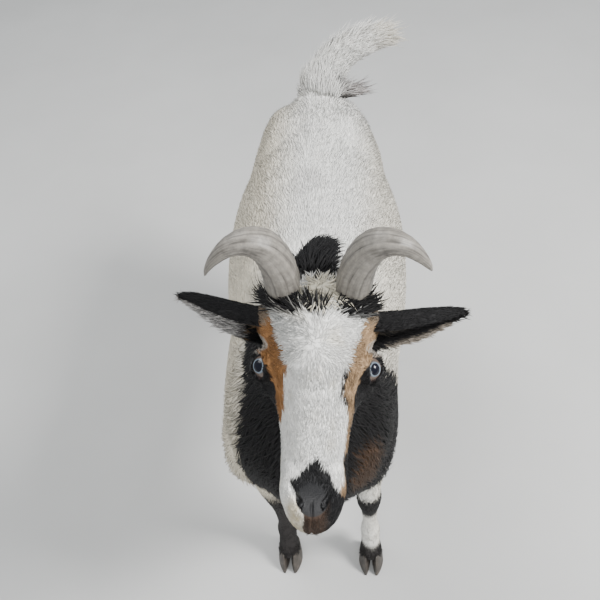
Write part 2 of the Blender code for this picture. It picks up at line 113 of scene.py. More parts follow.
# Parts of the coat, numbered in this order
ZONES = ("face", "crown", "ears", "neck", "trunk", "forelegs", "hindlegs", "tail")
FACE, CROWN, EARS, NECK, TRUNK, FORELEGS, HINDLEGS, TAIL = range(len(ZONES))
# Planes that part them, as a point and a direction
HEAD_EDGE = ((0, -0.078, 0.652), (0, -0.72, 0.69))
NECK_EDGE = ((0, -0.06, 0.52), (0, -0.644, 0.765))
TAIL_EDGE = ((0.004, 0.468, 0.538), (0.25, 0.42, 0.85))
TAIL_TUFT = (0.036, 0.46, 0.538)  # roots of the grey hair that sticks out beside the tail
TAIL_SPOT = (0.028, 0.461, 0.547)  # where the tail's left side leaves the rump

# Black hair in front of the horns runs along these lines in the head's frame: ahead and left, in mm
POLL_BENDS = (
    ((12, -31), (21.5, -22), (23.5, -10), (27.5, 3)),
    ((15, 14), (21.5, 21), (20.5, 29)),
)
BEND_REACH = 0.0045  # half the width of that hair

# The body's parts as rows along their length: x, y, z of the middle, half width, half depth, in mm
TRUNK_ROWS = (
    (12, -116, 440, 30, 40), (10, -98, 432, 58, 80), (10, -60, 424, 82, 114),
    (11, 0, 424, 98, 142), (10, 80, 416, 113, 144), (6, 170, 408, 125, 147),
    (3, 260, 406, 125, 149), (1, 335, 416, 106, 144), (0, 395, 436, 80, 130),
    (0, 440, 456, 60, 108), (0, 472, 472, 44, 80), (0, 490, 482, 28, 48),
)  # fmt: skip
NECK_ROWS = (
    (4, 12, 455, 70, 108), (8, -20, 515, 66, 94), (16, -44, 572, 58, 76),
    (26, -62, 625, 50, 62), (36, -74, 664, 44, 52), (40, -80, 690, 38, 42),
)  # fmt: skip
TAIL_ROWS = (
    (0, 446, 526, 20, 24), (8, 474, 551, 18, 26), (26, 485, 575, 17, 26),
    (52, 490, 595, 15, 24), (81, 493, 607, 12, 20), (107, 495, 610, 7, 12),
    (126, 497, 603, 3, 4),
)  # fmt: skip
# Each leg: its upper rows, then its lower ones without x, where it stands over the foot
FORELEG_ROWS = (
    (70, -45, 400, 34, 56), (73, -18, 330, 32, 46), (73, -16, 270, 26, 34), (71, -22, 220, 21, 25),
)  # fmt: skip
FORE_SHANK_ROWS = (
    (-26, 185, 21, 23), (-26, 150, 16, 18), (-26, 105, 14, 16),
    (-26, 75, 18, 20), (-32, 52, 17.5, 18), (-42, 25, 20, 21),
)  # fmt: skip
HINDLEG_ROWS = (
    (52, 415, 450, 36, 76), (66, 400, 380, 36, 78), (74, 400, 320, 32, 60),
    (78, 428, 270, 26, 40), (79, 462, 232, 21, 29),
)  # fmt: skip
HIND_SHANK_ROWS = (
    (480, 205, 19, 26), (476, 150, 15, 18.5), (469, 105, 14.5, 17.5),
    (462, 75, 18, 21), (452, 52, 18, 19), (442, 25, 20, 21),
)  # fmt: skip
# Upper rows, lower rows, the feet's x, the dewclaws' y, the fillet into the trunk
LEGS = (
    (FORELEG_ROWS, FORE_SHANK_ROWS, FORE_X, -0.013, 0.03),
    (HINDLEG_ROWS, HIND_SHANK_ROWS, HIND_X, 0.477, 0.035),
)
# In the head's frame: ahead, out of the face, half width, half depth
HEAD_ROWS = (
    (-30, -44, 26, 28), (-14, -45, 36, 44), (15, -48, 43, 57),
    (45, -50, 45, 61), (70, -50, 40, 56), (95, -48, 33, 46),
    (120, -46, 29, 37), (145, -45, 28.5, 32), (161, -45, 27.5, 29),
    (172, -46, 23.5, 23), (179, -47, 15, 14),
)  # fmt: skip
# In the head's frame, on either side: ahead, left, out, three half sizes, fillet
SWELLINGS = (
    (52, 28, -22, 24, 10, 12, 10),  # brow over the eye
    (30, 28, -78, 36, 14, 34, 20),  # cheek
    (100, 16, -78, 34, 9, 14, 15),  # lower jaw
    (160, 14.5, -30, 18, 12, 13, 10),  # side of the nostril
    (0, 26, -14, 20, 16, 16, 12),  # horn's root
    (26, 38, -30, 18, 14, 16, 14),  # ear's root
)
# In the head's frame: ahead, left, out, half depth toward the nose, half width across the curve
HORN_ROWS = (
    (4.5, 26.2, -14, 17.5, 14.5), (1, 28.5, 6, 17.5, 14.5), (-7, 32.5, 30, 16, 13.2),
    (-12, 40.5, 48, 13.8, 11.4), (-12, 52.5, 57, 11, 9.4), (-8.5, 65.5, 56, 8, 7),
    (-3.5, 76.5, 47, 5.2, 4.6), (0, 83.5, 36, 2.7, 2.5), (1.5, 86.5, 28, 0.9, 0.8),
)  # fmt: skip
NOSTRIL_ROWS = (
    (156, 16, -20, 1, 1), (161, 15, -18.5, 1.9, 1.9), (166.5, 12, -19, 2.3, 2.3),
    (170.5, 8.8, -22.5, 2.2, 2.2), (174, 6.8, -29, 1.8, 1.8), (176.5, 5.2, -35, 1, 1),
)  # fmt: skip


# Vectors and fields


def mm(numbers):
    """Numbers of a table in millimetres, read in metres."""
    return np.array(numbers, float) / 1000


def unit(vector):
    """Vectors divided by their lengths, along the last axis."""
    vector = np.asarray(vector, float)
    return vector / np.maximum(np.linalg.norm(vector, axis=-1, keepdims=True), 1e-12)


def head_axes():
    """The head frame's unit rows, from its pitch, yaw and roll."""
    flat = math.cos(FACE_PITCH)
    level = (math.sin(FACE_YAW) * flat, -math.cos(FACE_YAW) * flat)
    forward = np.array([*level, -math.sin(FACE_PITCH)])
    level = unit(np.cross([0, 0, 1], forward))
    left = math.cos(FACE_ROLL) * level + math.sin(FACE_ROLL) * np.cross(forward, level)
    return np.array([forward, left, np.cross(forward, left)])


HEAD = head_axes()


def on_head(places):
    """Head-frame places carried to the goat's frame."""
    return POLL + np.asarray(places, float) @ HEAD


def in_head(points):
    """Points of the goat's frame read in the head's frame."""
    return (points - POLL) @ HEAD.T


def beyond(points, edge):
    """How far past one of the planes that part the coat each point lies."""
    return (points - edge[0]) @ np.array(edge[1])


def reach_of(points, place):
    """Each point's distance from one place."""
    return np.linalg.norm(points - place, axis=1)


def step_up(value, start, end):
    """0 before start, 1 after end, and the cubic 3t^2 - 2t^3 between them."""
    t = np.clip((value - start) / (end - start), 0, 1)
    return t * t * (3 - 2 * t)


def within(value, edge, soft):
    """1 where value is well under edge, 0 where it is well over it."""
    return 1 - step_up(value, edge - soft, edge + soft)


def hump(value, width):
    """The Gaussian exp(-(value / width)^2)."""
    return np.exp(-((value / width) ** 2))


def smooth_rows(rows, steps):
    """A Catmull-Rom curve through rows of numbers, with this many steps between two rows."""
    rows = np.asarray(rows, float)
    padded = np.vstack([2 * rows[0] - rows[1], rows, 2 * rows[-1] - rows[-2]])
    t = np.linspace(0, 1, steps, endpoint=False)[:, None, None]
    a, b, c, d = (padded[i : len(padded) - 3 + i] for i in range(4))
    bend, twist = 2 * a - 5 * b + 4 * c - d, 3 * b - a - 3 * c + d
    curve = b + 0.5 * ((c - a) * t + bend * t**2 + twist * t**3)
    return np.vstack([curve.transpose(1, 0, 2).reshape(-1, rows.shape[1]), rows[-1]])


def ellipsoid_field(offsets, radii):
    """k (k - 1) / |offset / radii^2| with k = |offset / radii|: close to the distance from it."""
    scaled = np.linalg.norm(offsets / radii, axis=1)
    slope = np.linalg.norm(offsets / np.square(radii), axis=1) + 1e-9
    return scaled * (scaled - 1) / slope


def ball(points, centre, radii, axes=None):
    """Field of an ellipsoid about centre, turned to the given unit rows."""
    offsets = points - centre
    if axes is not None:
        offsets = offsets @ np.asarray(axes).T
    return ellipsoid_field(offsets, np.asarray(radii, float))


def box_distance(points, low, high):
    """How far outside a box each point lies, along the axis where it is furthest out."""
    return np.maximum(low - points, points - high).max(axis=1)


def tube(points, rows, side, pinch=0.0, steps=4):
    """Field of an oval tube along a curve: the least of its short pieces' ellipsoid fields.

    Each row is a centre, a half width along side and a half depth across it. The pieces between two
    rows are worked out only for points within BLEND_REACH of their box. For the others the distance
    from the box will do.
    """
    path = smooth_rows(rows, steps)
    nearest = np.full(len(points), np.inf)
    for first in range(0, len(path) - 1, steps):
        stretch = path[first : first + steps + 1]
        reach = stretch[:, 3:5].max()
        low, high = stretch[:, :3].min(axis=0) - reach, stretch[:, :3].max(axis=0) + reach
        far = box_distance(points, low, high)
        close = far < BLEND_REACH
        near_points = points[close]
        least = np.full(len(near_points), np.inf)
        for start, end in zip(stretch[:-1], stretch[1:]):
            least = np.minimum(least, tube_piece(near_points, start, end, side, pinch))
        far[close] = least
        nearest = np.minimum(nearest, far)
    return nearest


def tube_piece(points, start, end, side, pinch):
    """One straight piece of a tube, narrowed toward its upper side by pinch."""
    run = end[:3] - start[:3]
    length = np.linalg.norm(run)
    along = run / length
    across = unit(np.cross(along, side))
    flat = np.cross(across, along)
    offset = points - start[:3]
    share = np.clip(offset @ along / length, 0, 1)
    offset = offset - share[:, None] * run
    width = start[3] + share * (end[3] - start[3])
    depth = start[4] + share * (end[4] - start[4])
    high_side = offset @ across
    width = width * (1 - pinch * np.clip(high_side / depth, -1, 1))
    local = np.stack([offset @ flat, high_side, offset @ along], axis=1)
    radii = np.stack([width, depth, np.minimum(width, depth)], axis=1)
    return ellipsoid_field(local, radii)


def blend(first, second, reach):
    """Union of two fields with a fillet of about this reach."""
    mix = np.clip(0.5 + 0.5 * (second - first) / reach, 0, 1)
    return second + (first - second) * mix - reach * mix * (1 - mix)


def carve(shape, hollow, reach):
    """The first field less the second, its edge rounded by about reach."""
    return -blend(-shape, hollow, reach)


# Skin


def leg_rows(side, upper, shank, foot_x):
    """One leg's rows from the trunk to the pastern."""
    rows = np.vstack([mm(upper), np.insert(mm(shank), 0, foot_x[side], axis=1)])
    rows[:, 0] *= side
    return rows


def horn_rows(side):
    """One horn's rows in the goat's frame. The tips lean a little to the animal's right."""
    rows = mm(HORN_ROWS)
    lean = -0.004 * side * (np.arange(len(rows)) / (len(rows) - 1)) ** 2
    return [
        (*on_head((ahead + shift, side * left, out)), width, depth)
        for shift, (ahead, left, out, width, depth) in zip(lean, rows)
    ]


def eye_centre(side):
    return on_head(EYE_PLACE * (1, side, 1))


def eye_distance(points):
    """Distance from the nearer eye's centre."""
    return np.minimum(*(reach_of(points, eye_centre(side)) for side in (-1, 1)))


def eye_axes(side, facing):
    """Unit rows along the opening between the lids, across it and out of it."""
    out = unit(facing * np.array([1, side, 1]))
    length = np.array([1.0, 0.12 * side, -0.16])
    along = unit(length - out * (out @ length))
    return np.array([along, np.cross(out, along) * side, out]) @ HEAD


def lid_opening(points, side):
    """Places in one eye's axes, and how far outside the almond between its lids each lies.

    With u along the opening and v across it, the almond is |v| < H (1 - (u / U)^2), where H differs
    above and below.
    """
    local = (points - eye_centre(side)) @ eye_axes(side, LID_FACING).T
    half_high = np.where(local[:, 1] > 0, UPPER_LID, LOWER_LID)
    gap = np.abs(local[:, 1]) - half_high * np.clip(1 - (local[:, 0] / LID_LENGTH) ** 2, -1, 1)
    return local, gap


def mouth_height(ahead):
    """How far out of the face the line between the lips runs."""
    return -0.0555 - 0.2 * np.clip(LIP_FRONT - ahead, 0, 0.05)


def coronet_height(y, height):
    """Height of the slanted plane on top of the hooves, given its height over the foot."""
    foot_y = np.where(y < 0.2, FORE_FOOT_Y, HIND_FOOT_Y)
    return height - (y - foot_y) * math.tan(CORONET_SLOPE)


def head_field(points):
    """The head: a tube from crown to lips, with orbits, cheeks, jaws, nostril wings and chin."""
    rows = [(*on_head((ahead, 0, out)), *halves) for ahead, out, *halves in mm(HEAD_ROWS)]
    shape = tube(points, rows, -HEAD[1], pinch=-0.1, steps=8)
    for side in (-1, 1):
        for ahead, left, out, *sizes, reach in mm(SWELLINGS):
            swelling = ball(points, on_head((ahead, side * left, out)), sizes, HEAD)
            shape = blend(shape, swelling, reach)
    forehead = ball(points, on_head((0.03, 0, -0.006)), (0.04, 0.03, 0.016), HEAD)
    chin = ball(points, on_head((0.162, 0, -0.065)), (0.0195, 0.0165, 0.0115), HEAD)
    return blend(blend(shape, forehead, 0.02), chin, 0.012)


def coat_depth(points):
    """How far the skin lies under the tips of the coat: least on the face and the lower legs."""
    place = in_head(points)
    on_face = step_up(place[:, 0], -0.035, 0.01) * step_up(place[:, 2], -0.125, -0.095)
    throat = step_up(points[:, 2], 0.46, 0.52) * step_up(-points[:, 1], -0.02, 0.03)
    depth = 0.0075 + 0.0035 * throat
    depth = depth + (0.0035 - depth) * step_up(-points[:, 2], -0.32, -0.24)
    return depth + (0.0022 - depth) * on_face


def face_details(points, shape):
    """Cuts and raises the small forms of the face.

    Each eye gets a dome of lid, with a rim round the almond that opens it and a crease above. The
    nostrils are curved slots, and the mouth and the furrow under the nose are Gaussian grooves.
    """
    place = in_head(points)
    close = (place[:, 0] > 0.02) & (np.abs(shape) < 0.02)
    near_points, near, head = points[close], shape[close], place[close]
    nostril = mm(NOSTRIL_ROWS)
    for side in (-1, 1):
        near = blend(near, ball(near_points, eye_centre(side), (EYE_RADIUS + 0.0026,) * 3), 0.007)
        local, gap = lid_opening(near_points, side)
        away = np.linalg.norm(local, axis=1)
        fold = hump(gap - 0.0052, 0.0011) * (local[:, 1] > -0.001) * (away < EYE_RADIUS + 0.008)
        rim = hump(gap, 0.001) * (away < LID_REACH)
        near = near + (0.001 * fold - 0.0005 * rim) * (local[:, 2] > 0)
        hollow = np.maximum(np.maximum(gap, EYE_RADIUS - 0.0015 - away), -local[:, 2])
        near = carve(near, hollow, 0.001)
        # The bone under the eye runs back from the front of the orbit
        centre = on_head((0.052, side * 0.04, -0.052))
        near = blend(near, ball(near_points, centre, (0.03, 0.008, 0.0065), HEAD), 0.012)
        rows = [(*on_head((a, side * left, out)), *halves) for a, left, out, *halves in nostril]
        slot = tube(near_points, rows, HEAD[1] * side + 0.3 * HEAD[0], steps=3)
        near = carve(near, slot, 0.0016)
    lips = hump(head[:, 2] - mouth_height(head[:, 0]), 0.0013) * step_up(head[:, 0], 0.126, 0.14)
    furrow = hump(head[:, 1], 0.0009) * step_up(head[:, 0], 0.167, 0.173)
    furrow = furrow * step_up(head[:, 2], -0.053, -0.048)
    shape = shape.copy()
    shape[close] = near + 0.0034 * lips + 0.0012 * furrow
    return shape


def skin_field(points):
    """The skin, negative inside: the solids' shape sunk by the coat's depth, with a face."""
    right = (-1, 0, 0)
    shape = tube(points, mm(TRUNK_ROWS), (1, 0, 0), pinch=0.2, steps=6)
    for side in (-1, 1):
        shoulder = ball(points, (side * 0.056 + 0.006, -0.04, 0.42), (0.036, 0.066, 0.1))
        haunch = ball(points, (side * 0.05, 0.402, 0.44), (0.04, 0.072, 0.1))
        shape = blend(blend(shape, shoulder, 0.05), haunch, 0.05)
        for upper, shank, foot_x, dewclaw_y, reach in LEGS:
            dewclaws = ball(points, (side * foot_x[side], dewclaw_y, 0.064), (0.015, 0.008, 0.01))
            leg = tube(points, leg_rows(side, upper, shank, foot_x), right)
            shape = blend(shape, blend(leg, dewclaws, 0.008), reach)
    shape = blend(shape, tube(points, mm(NECK_ROWS), right), 0.05)
    shape = blend(shape, head_field(points), 0.025)
    shape = blend(shape, tube(points, mm(TAIL_ROWS), (0.2, 1, 0)), 0.016)
    humps = (
        # centre, half sizes, fillet: the tail's root, the throat, the crest of the neck
        ((0.008, 0.464, 0.545), (0.032, 0.022, 0.024), 0.03),
        ((0.032, -0.112, 0.6), (0.026, 0.04, 0.034), 0.03),
        ((0.012, 0.012, 0.592), (0.018, 0.04, 0.026), 0.04),
    )
    for centre, sizes, reach in humps:
        shape = blend(shape, ball(points, centre, sizes), reach)
    shape = shape + coat_depth(points)
    shape = carve(shape, points[:, 2] - coronet_height(points[:, 1], CORONET_HEIGHT - 0.006), 0.002)
    return face_details(points, shape)


def settle(field, points, rounds, reach=0.0004, longest=0.003):
    """Newton steps onto the zero surface: each point moves by -f g / |g|^2, but not too far."""
    for _ in range(rounds):
        sides = [field(points + offset) - field(points - offset) for offset in np.eye(3) * reach]
        slope = np.stack(sides, axis=1) / (2 * reach)
        steepness = np.maximum((slope**2).sum(axis=1, keepdims=True), 0.2)
        move = -field(points)[:, None] * slope / steepness
        length = np.linalg.norm(move, axis=1, keepdims=True)
        points = points + move * np.minimum(1, longest / np.maximum(length, 1e-9))
    return points


def surface(field, low, high, step):
    """The field's zero surface as points and quads.

    Each grid cell that the surface passes through gets one point, the mean of the places where it
    crosses the cell's edges. Each crossed grid edge joins the points of its four cells in one quad.
    """
    axes = [np.arange(a, b + step, step) for a, b in zip(low, high)]
    grid = np.stack(np.meshgrid(*axes, indexing="ij"), axis=-1)
    value = field(grid.reshape(-1, 3)).reshape(grid.shape[:3])
    cells = tuple(n - 1 for n in value.shape)
    total = np.zeros((*cells, 3))
    count = np.zeros(cells)
    for axis in range(3):
        for edge in range(4):
            offset = np.insert([edge % 2, edge // 2], axis, 0)
            near, far = (
                tuple(slice(o, o + n) for o, n in zip(corner, cells))
                for corner in (offset, offset + (np.arange(3) == axis))
            )
            crossed = (value[near] < 0) != (value[far] < 0)
            share = value[near] / np.where(crossed, value[near] - value[far], 1)
            total += np.where(crossed[..., None], grid[near], 0)
            total[..., axis] += np.where(crossed, share * step, 0)
            count += crossed
    used = count > 0
    index = np.cumsum(used).reshape(cells) - 1
    quads = []
    for axis in range(3):
        one, two = (axis + 1) % 3, (axis + 2) % 3
        near = tuple(slice(0, -1) if i == axis else slice(1, -1) for i in range(3))
        far = tuple(slice(1, None) if i == axis else slice(1, -1) for i in range(3))
        leaving = ((0, 0), (1, 0), (1, 1), (0, 1))
        entering = ((0, 0), (0, 1), (1, 1), (1, 0))
        for first, second, ring in ((near, far, leaving), (far, near, entering)):
            at = np.argwhere((value[first] < 0) & (value[second] >= 0))
            corners = []
            for step_one, step_two in ring:
                cell = at.copy()
                cell[:, one] += step_one
                cell[:, two] += step_two
                corners.append(index[tuple(cell.T)])
            quads.append(np.stack(corners, axis=1))
    return total[used] / count[used][:, None], np.vstack(quads)


def wants_finer(points, level):
    """Where the skin's faces are halved once more: the head first, then the eyes, nose and lips."""
    place = in_head(points)
    if level < 2:
        return (place[:, 0] > -0.03) & (place[:, 2] > -0.11)
    return (eye_distance(points) < 0.02) | ((place[:, 0] > 0.15) & (place[:, 2] > -0.07))


def corner_places(shape):
    return np.array([v.co for v in shape.verts])


def refine(points, faces):
    """Halves edges where the skin wants it, three times over, and settles the points on it."""
    shape = bmesh.new()
    mesh = bpy.data.meshes.new("rough")
    mesh.from_pydata(points.tolist(), [], faces.tolist())
    shape.from_mesh(mesh)
    for level in range(3):
        chosen = wants_finer(corner_places(shape), level)
        shape.verts.ensure_lookup_table()
        shape.verts.index_update()
        edges = [e for e in shape.edges if all(chosen[v.index] for v in e.verts)]
        bmesh.ops.subdivide_edges(shape, edges=edges, cuts=1, use_grid_fill=True)
        places = settle(skin_field, corner_places(shape), 1 if level < 2 else 3)
        for vert, place in zip(shape.verts, places):
            vert.co = place
    bmesh.ops.triangulate(shape, faces=shape.faces[:])
    shape.verts.index_update()
    places = corner_places(shape)
    triangles = np.array([[v.index for v in f.verts] for f in shape.faces])
    shape.free()
    bpy.data.meshes.remove(mesh)
    return places, triangles


def ear_grid(side, along=34, around=22):
    """The ear's skin as a closed shell: a leaf folded into a trough that opens toward the nose.

    At each share s of its length an arc of an oval, from the lower rim round the back to the upper
    one, is offset both ways by half the thickness. Returns points and, for each, s, the arc's place
    from -1 to 1 and 1 on the inner wall.
    """
    share = np.linspace(0, 1, along)[:, None]
    place = np.linspace(-1, 1, around)[None, :]
    reach = EAR_REACH * (np.sqrt(1 - share**3.5) * (0.76 + 0.7 * share * (1 - share)) + 0.02)
    lower, upper = np.radians(-128 + 40 * share), np.radians(92 - 12 * share)
    turn = lower + (upper - lower) * (place + 1) / 2
    thick = EAR_THICKNESS * (1 - 0.45 * share) * (1 - 0.75 * np.abs(place) ** 4)
    ribs = 0.0004 * np.sin(place * 9) * (1 - place**2) * step_up(share, 0.05, 0.3)
    root = EAR_ROOT * np.array([1, side, 1])
    centre = root + (np.array(EAR_TIP[side]) - root) * share[..., None]
    centre = centre + EAR_SAG * (share * (1 - share))[..., None] * np.array([1, 0, 0])
    walls = []
    for offset in (0.5, -0.5):
        far = offset * thick + ribs
        ahead = -np.cos(turn) * (reach + far)
        out = np.sin(turn) * (reach * EAR_FLATNESS + far)
        walls.append(on_head(centre + np.stack([ahead, np.zeros_like(ahead), out], axis=-1)))
    shell = np.concatenate([walls[0], walls[1][:, ::-1]], axis=1)
    marks = np.zeros(shell.shape)
    marks[..., 0] = share
    marks[:, :around, 1] = place
    marks[:, around:, 1] = place[:, ::-1]
    marks[:, around:, 2] = 1
    return shell, marks


# Meshes


def facing_out(points, faces):
    """Triangles turned to face out, told from the sign of the volume they enclose."""
    a, b, c = (points[faces[:, i]] for i in range(3))
    return faces[:, ::-1] if (np.cross(a, b) * c).sum() < 0 else faces


def capped(grid):
    """Triangles over a grid of closed rings, with a middle point added to each end."""
    rows, columns = grid.shape[:2]
    points = np.vstack([grid.reshape(-1, 3), grid[0].mean(axis=0), grid[-1].mean(axis=0)])
    index = np.arange(rows * columns).reshape(rows, columns)
    after = np.roll(index, -1, axis=1)
    quads = np.stack([index[:-1], after[:-1], after[1:], index[1:]], axis=-1).reshape(-1, 4)
    foot, top = (np.full(columns, rows * columns + end) for end in (0, 1))
    lids = [(after[0], index[0], foot), (index[-1], after[-1], top)]
    lids = [np.stack(corners, axis=1) for corners in lids]
    faces = np.vstack([quads[:, [0, 1, 2]], quads[:, [0, 2, 3]], *lids])
    return points, facing_out(points, faces)


def flat_array(values, kind=np.float32):
    return np.ascontiguousarray(values, kind).ravel()


def mesh_from(name, points, faces, colours=None, **maps):
    """A mesh of triangles, with markings and, for each UV map, a spot per point."""
    mesh = bpy.data.meshes.new(name)
    mesh.vertices.add(len(points))
    mesh.vertices.foreach_set("co", flat_array(points))
    mesh.loops.add(faces.size)
    mesh.loops.foreach_set("vertex_index", flat_array(faces, np.int32))
    mesh.polygons.add(len(faces))
    mesh.polygons.foreach_set("loop_start", np.arange(0, faces.size, 3, dtype=np.int32))
    mesh.polygons.foreach_set("use_smooth", np.ones(len(faces), bool))
    mesh.update(calc_edges=True)
    if colours is not None:
        colours = np.column_stack([colours, np.ones(len(points))])
        add_attribute(mesh, "Marking", "FLOAT_COLOR", "color", colours)
    for map_name, spots in maps.items():
        layer = mesh.uv_layers.new(name=map_name)
        layer.data.foreach_set("uv", flat_array(spots[faces.ravel()]))
    return mesh


def add_attribute(mesh, name, kind, field, values):
    mesh.attributes.new(name, kind, "POINT").data.foreach_set(field, flat_array(values))


def read_numbers(items, field, size, kind=np.float32):
    """One field of every item as rows of this many numbers."""
    values = np.zeros(len(items) * size, kind)
    items.foreach_get(field, values)
    return values.reshape(-1, size)


def add_piece(name, mesh, material, slot, *replaced):
    """Links a finished piece, riding on the one body and standing for these nodes."""
    mesh.transform(Matrix.Translation(-MIDDLE))
    piece = bpy.data.objects.new(name, mesh)
    bpy.context.scene.collection.objects.link(piece)
    piece.data.materials.append(material)
    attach(piece, "root")
    if replaced:
        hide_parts(*replaced)


# Colours of the coat


def noise(points, scale, seed=0.0):
    """Smooth noise from -1 to 1: hashed values at whole corners, mixed by 3t^2 - 2t^3."""
    spot = np.asarray(points, float) * scale + 11.3 * seed
    corner = np.floor(spot)
    mix = spot - corner
    mix = mix * mix * (3 - 2 * mix)
    total = np.zeros(len(spot))
    for bits in range(8):
        step = np.array([bits & 1, bits >> 1 & 1, bits >> 2 & 1])
        hashed = np.sin((corner + step) @ np.array([127.1, 311.7, 74.7]) + seed) * 43758.5453
        weight = np.prod(np.where(step, mix, 1 - mix), axis=1)
        total += weight * (hashed - np.floor(hashed))
    return 2 * total - 1


def painted(colours, paints, *layers):
    """Colours painted over in turn with (share per point, colour or its name)."""
    for share, colour in layers:
        colour = paints[colour] if isinstance(colour, str) else colour
        colours = colours + (np.asarray(colour, float) - colours) * np.clip(share, 0, 1)[:, None]
    return colours


def all_of(paints, name, count):
    return np.tile(np.array(paints[name]), (count, 1))


def table(value, knots):
    """Linear interpolation in a table of (place, value) pairs in millimetres."""
    places, values = mm(knots).T
    return np.interp(value, places, values)


def line_distance(spots, line):
    """Distance of plane points from a broken line."""
    nearest = np.full(len(spots), np.inf)
    for start, end in zip(line[:-1], line[1:]):
        run = end - start
        share = np.clip((spots - start) @ run / (run @ run), 0, 1)
        nearest = np.minimum(nearest, np.linalg.norm(spots - start - share[:, None] * run, axis=1))
    return nearest


def bend_distance(place):
    """Distance of head-frame places from the black bends, which widen outward."""
    distance = np.minimum(*(line_distance(place[:, :2], mm(bend)) for bend in POLL_BENDS))
    return distance - 0.0045 * step_up(np.abs(place[:, 1]), 0.008, 0.02)


def poll_tuft(place, half_length, soft):
    """Share of the pale tuft between the horns."""
    ahead, left, out = place.T
    spot = np.hypot((ahead - 0.011) / half_length, (left - 0.003) / 0.0135)
    return within(spot, 1, soft) * step_up(out, -0.01, 0.0)


# Edges of the neck's black hair in mm: height with x on its right side, and height with y behind
RIGHT_NECK_EDGE = ((380, -45), (420, -59), (500, -55), (540, -49), (600, -66), (660, -90))
REAR_NECK_EDGE = ((370, -60), (400, -30), (440, -18), (490, -30), (520, -52), (560, -30), (585, 4))


def body_colours(points, paints):
    """White body with stains, black neck and chest, a brown shoulder patch, dark knees."""
    x, y, z = points.T
    broad, fine = noise(points, 14, 1), noise(points, 60, 2)
    wobble = 0.007 * broad + 0.004 * fine
    streak = noise(points * (3.0, 0.8, 2.0), 22, 3)
    low_flank = step_up(-z, -0.44, -0.3) * step_up(y, 0.02, 0.12) * (0.55 + 0.45 * broad)
    # Black runs down the neck to the chest, further out on the left side than on the right
    right_edge = table(z, RIGHT_NECK_EDGE)
    right_edge = np.where(y < -0.09, right_edge - 0.02 * step_up(-y, 0.09, 0.12), right_edge)
    black = within(right_edge - x, 0, 0.004 + 0.002 * fine)
    black = black * within(y - table(z, REAR_NECK_EDGE) + wobble, 0, 0.005)
    black = black * step_up(z + wobble, 0.372, 0.386)
    withers = np.hypot((x - 0.018) / 0.026, (y - 0.004) / 0.04) + 0.15 * broad
    black = np.maximum(black, within(withers, 1, 0.1) * step_up(z, 0.54, 0.56))
    patch = np.hypot((x - 0.068) / 0.016, (z - 0.455) / 0.034) + 0.3 * fine
    belly = within(z - 0.3 - 0.02 * broad, 0, 0.02) * within(np.abs(x), 0.05, 0.02)
    # Legs: dark round the knees and hocks, above the hooves; painted shade down the right foreleg
    fore, low = y < 0.15, z < 0.33
    knee = within(np.abs(z - 0.176 + wobble), 0.03, 0.006) * within(y, 0.02 + wobble, 0.01)
    hock = within(np.abs(z - 0.205 + wobble), 0.034, 0.008) * step_up(y, 0.465, 0.476)
    # A grey-pink tuft and a dark line by the root of the tail
    tuft = reach_of(points, TAIL_TUFT) + 0.003 * fine
    root_spot = np.linalg.norm((points - TAIL_SPOT) / (0.006, 0.012, 0.011), axis=1) + 0.3 * fine
    return painted(
        all_of(paints, "white", len(points)),
        paints,
        (0.35 * step_up(streak, 0.1, 0.9) * step_up(z, 0.4, 0.5), "grey_white"),
        (0.45 * low_flank + 0.55 * step_up(-x, 0.0, 0.07), "stain"),
        (0.38 * step_up(x, 0.045, 0.1), "stain"),
        (black, "black"),
        (0.8 * within(patch, 1, 0.35) * step_up(-y, 0.06, 0.09), "brown"),
        (0.5 * belly * step_up(y, 0.1, 0.3), "stain"),
        (fore * low * knee, "black"),
        # Painted shade: the right foreleg below the knee is darkened for the shadow it stands in
        (fore * (x < 0) * within(z + 1.5 * wobble, 0.215, 0.012), "dark_leg"),
        (fore * (x > 0) * within(z + wobble, 0.052, 0.006), "dark_leg"),
        (~fore * low * hock, "black"),
        (~fore * within(z + wobble, 0.085, 0.01), "dark_leg"),
        (0.75 * within(tuft, 0.013, 0.003), "grey"),
        (within(root_spot, 1, 0.3), "black"),
    )


# Edges on the face as (ahead, distance from the middle line) in mm: the tan stripes' inner and
# outer ones on the right and left sides, and the nose patch's on the right and left
TAN_INNER = {
    -1: (
        *((15, 40), (29.5, 35), (43, 31), (55, 25.5), (65, 22.5)),
        *((76, 24.5), (86, 25.5), (98, 27), (106, 31), (112, 100)),
    ),
    1: (
        *((15, 42), (34, 36), (51.6, 27.7), (70.5, 22.8), (83, 21), (92, 26.5)),
        *((103, 29), (118, 28.5), (130, 26.5), (140, 24), (158, 23), (168, 18)),
    ),
}
TAN_OUTER = {
    -1: ((0, 60), (30, 58), (50, 52), (60, 45), (72, 37.5), (82, 35.5), (98.5, 43), (110, 36)),
    1: (
        *((0, 60), (30, 58), (50, 52), (60, 45), (70, 36.5)),
        *((85.1, 33.5), (98, 42), (123.7, 36), (132, 26)),
    ),
}
NOSE_RIGHT = (
    *((133.5, 2.4), (139, -3), (143.9, -6.5), (149, -12), (152.7, -17.5)),
    *((157, -15), (161, -13.5), (167, -11.8), (174.3, -7.8), (185, -7.4)),
)
NOSE_LEFT = (
    *((133.5, 2.4), (139, 5.5), (141.2, 7.2), (147.5, 13.9)),
    *((155.5, 16.2), (160, 22.5), (166, 30), (175, 45)),
)


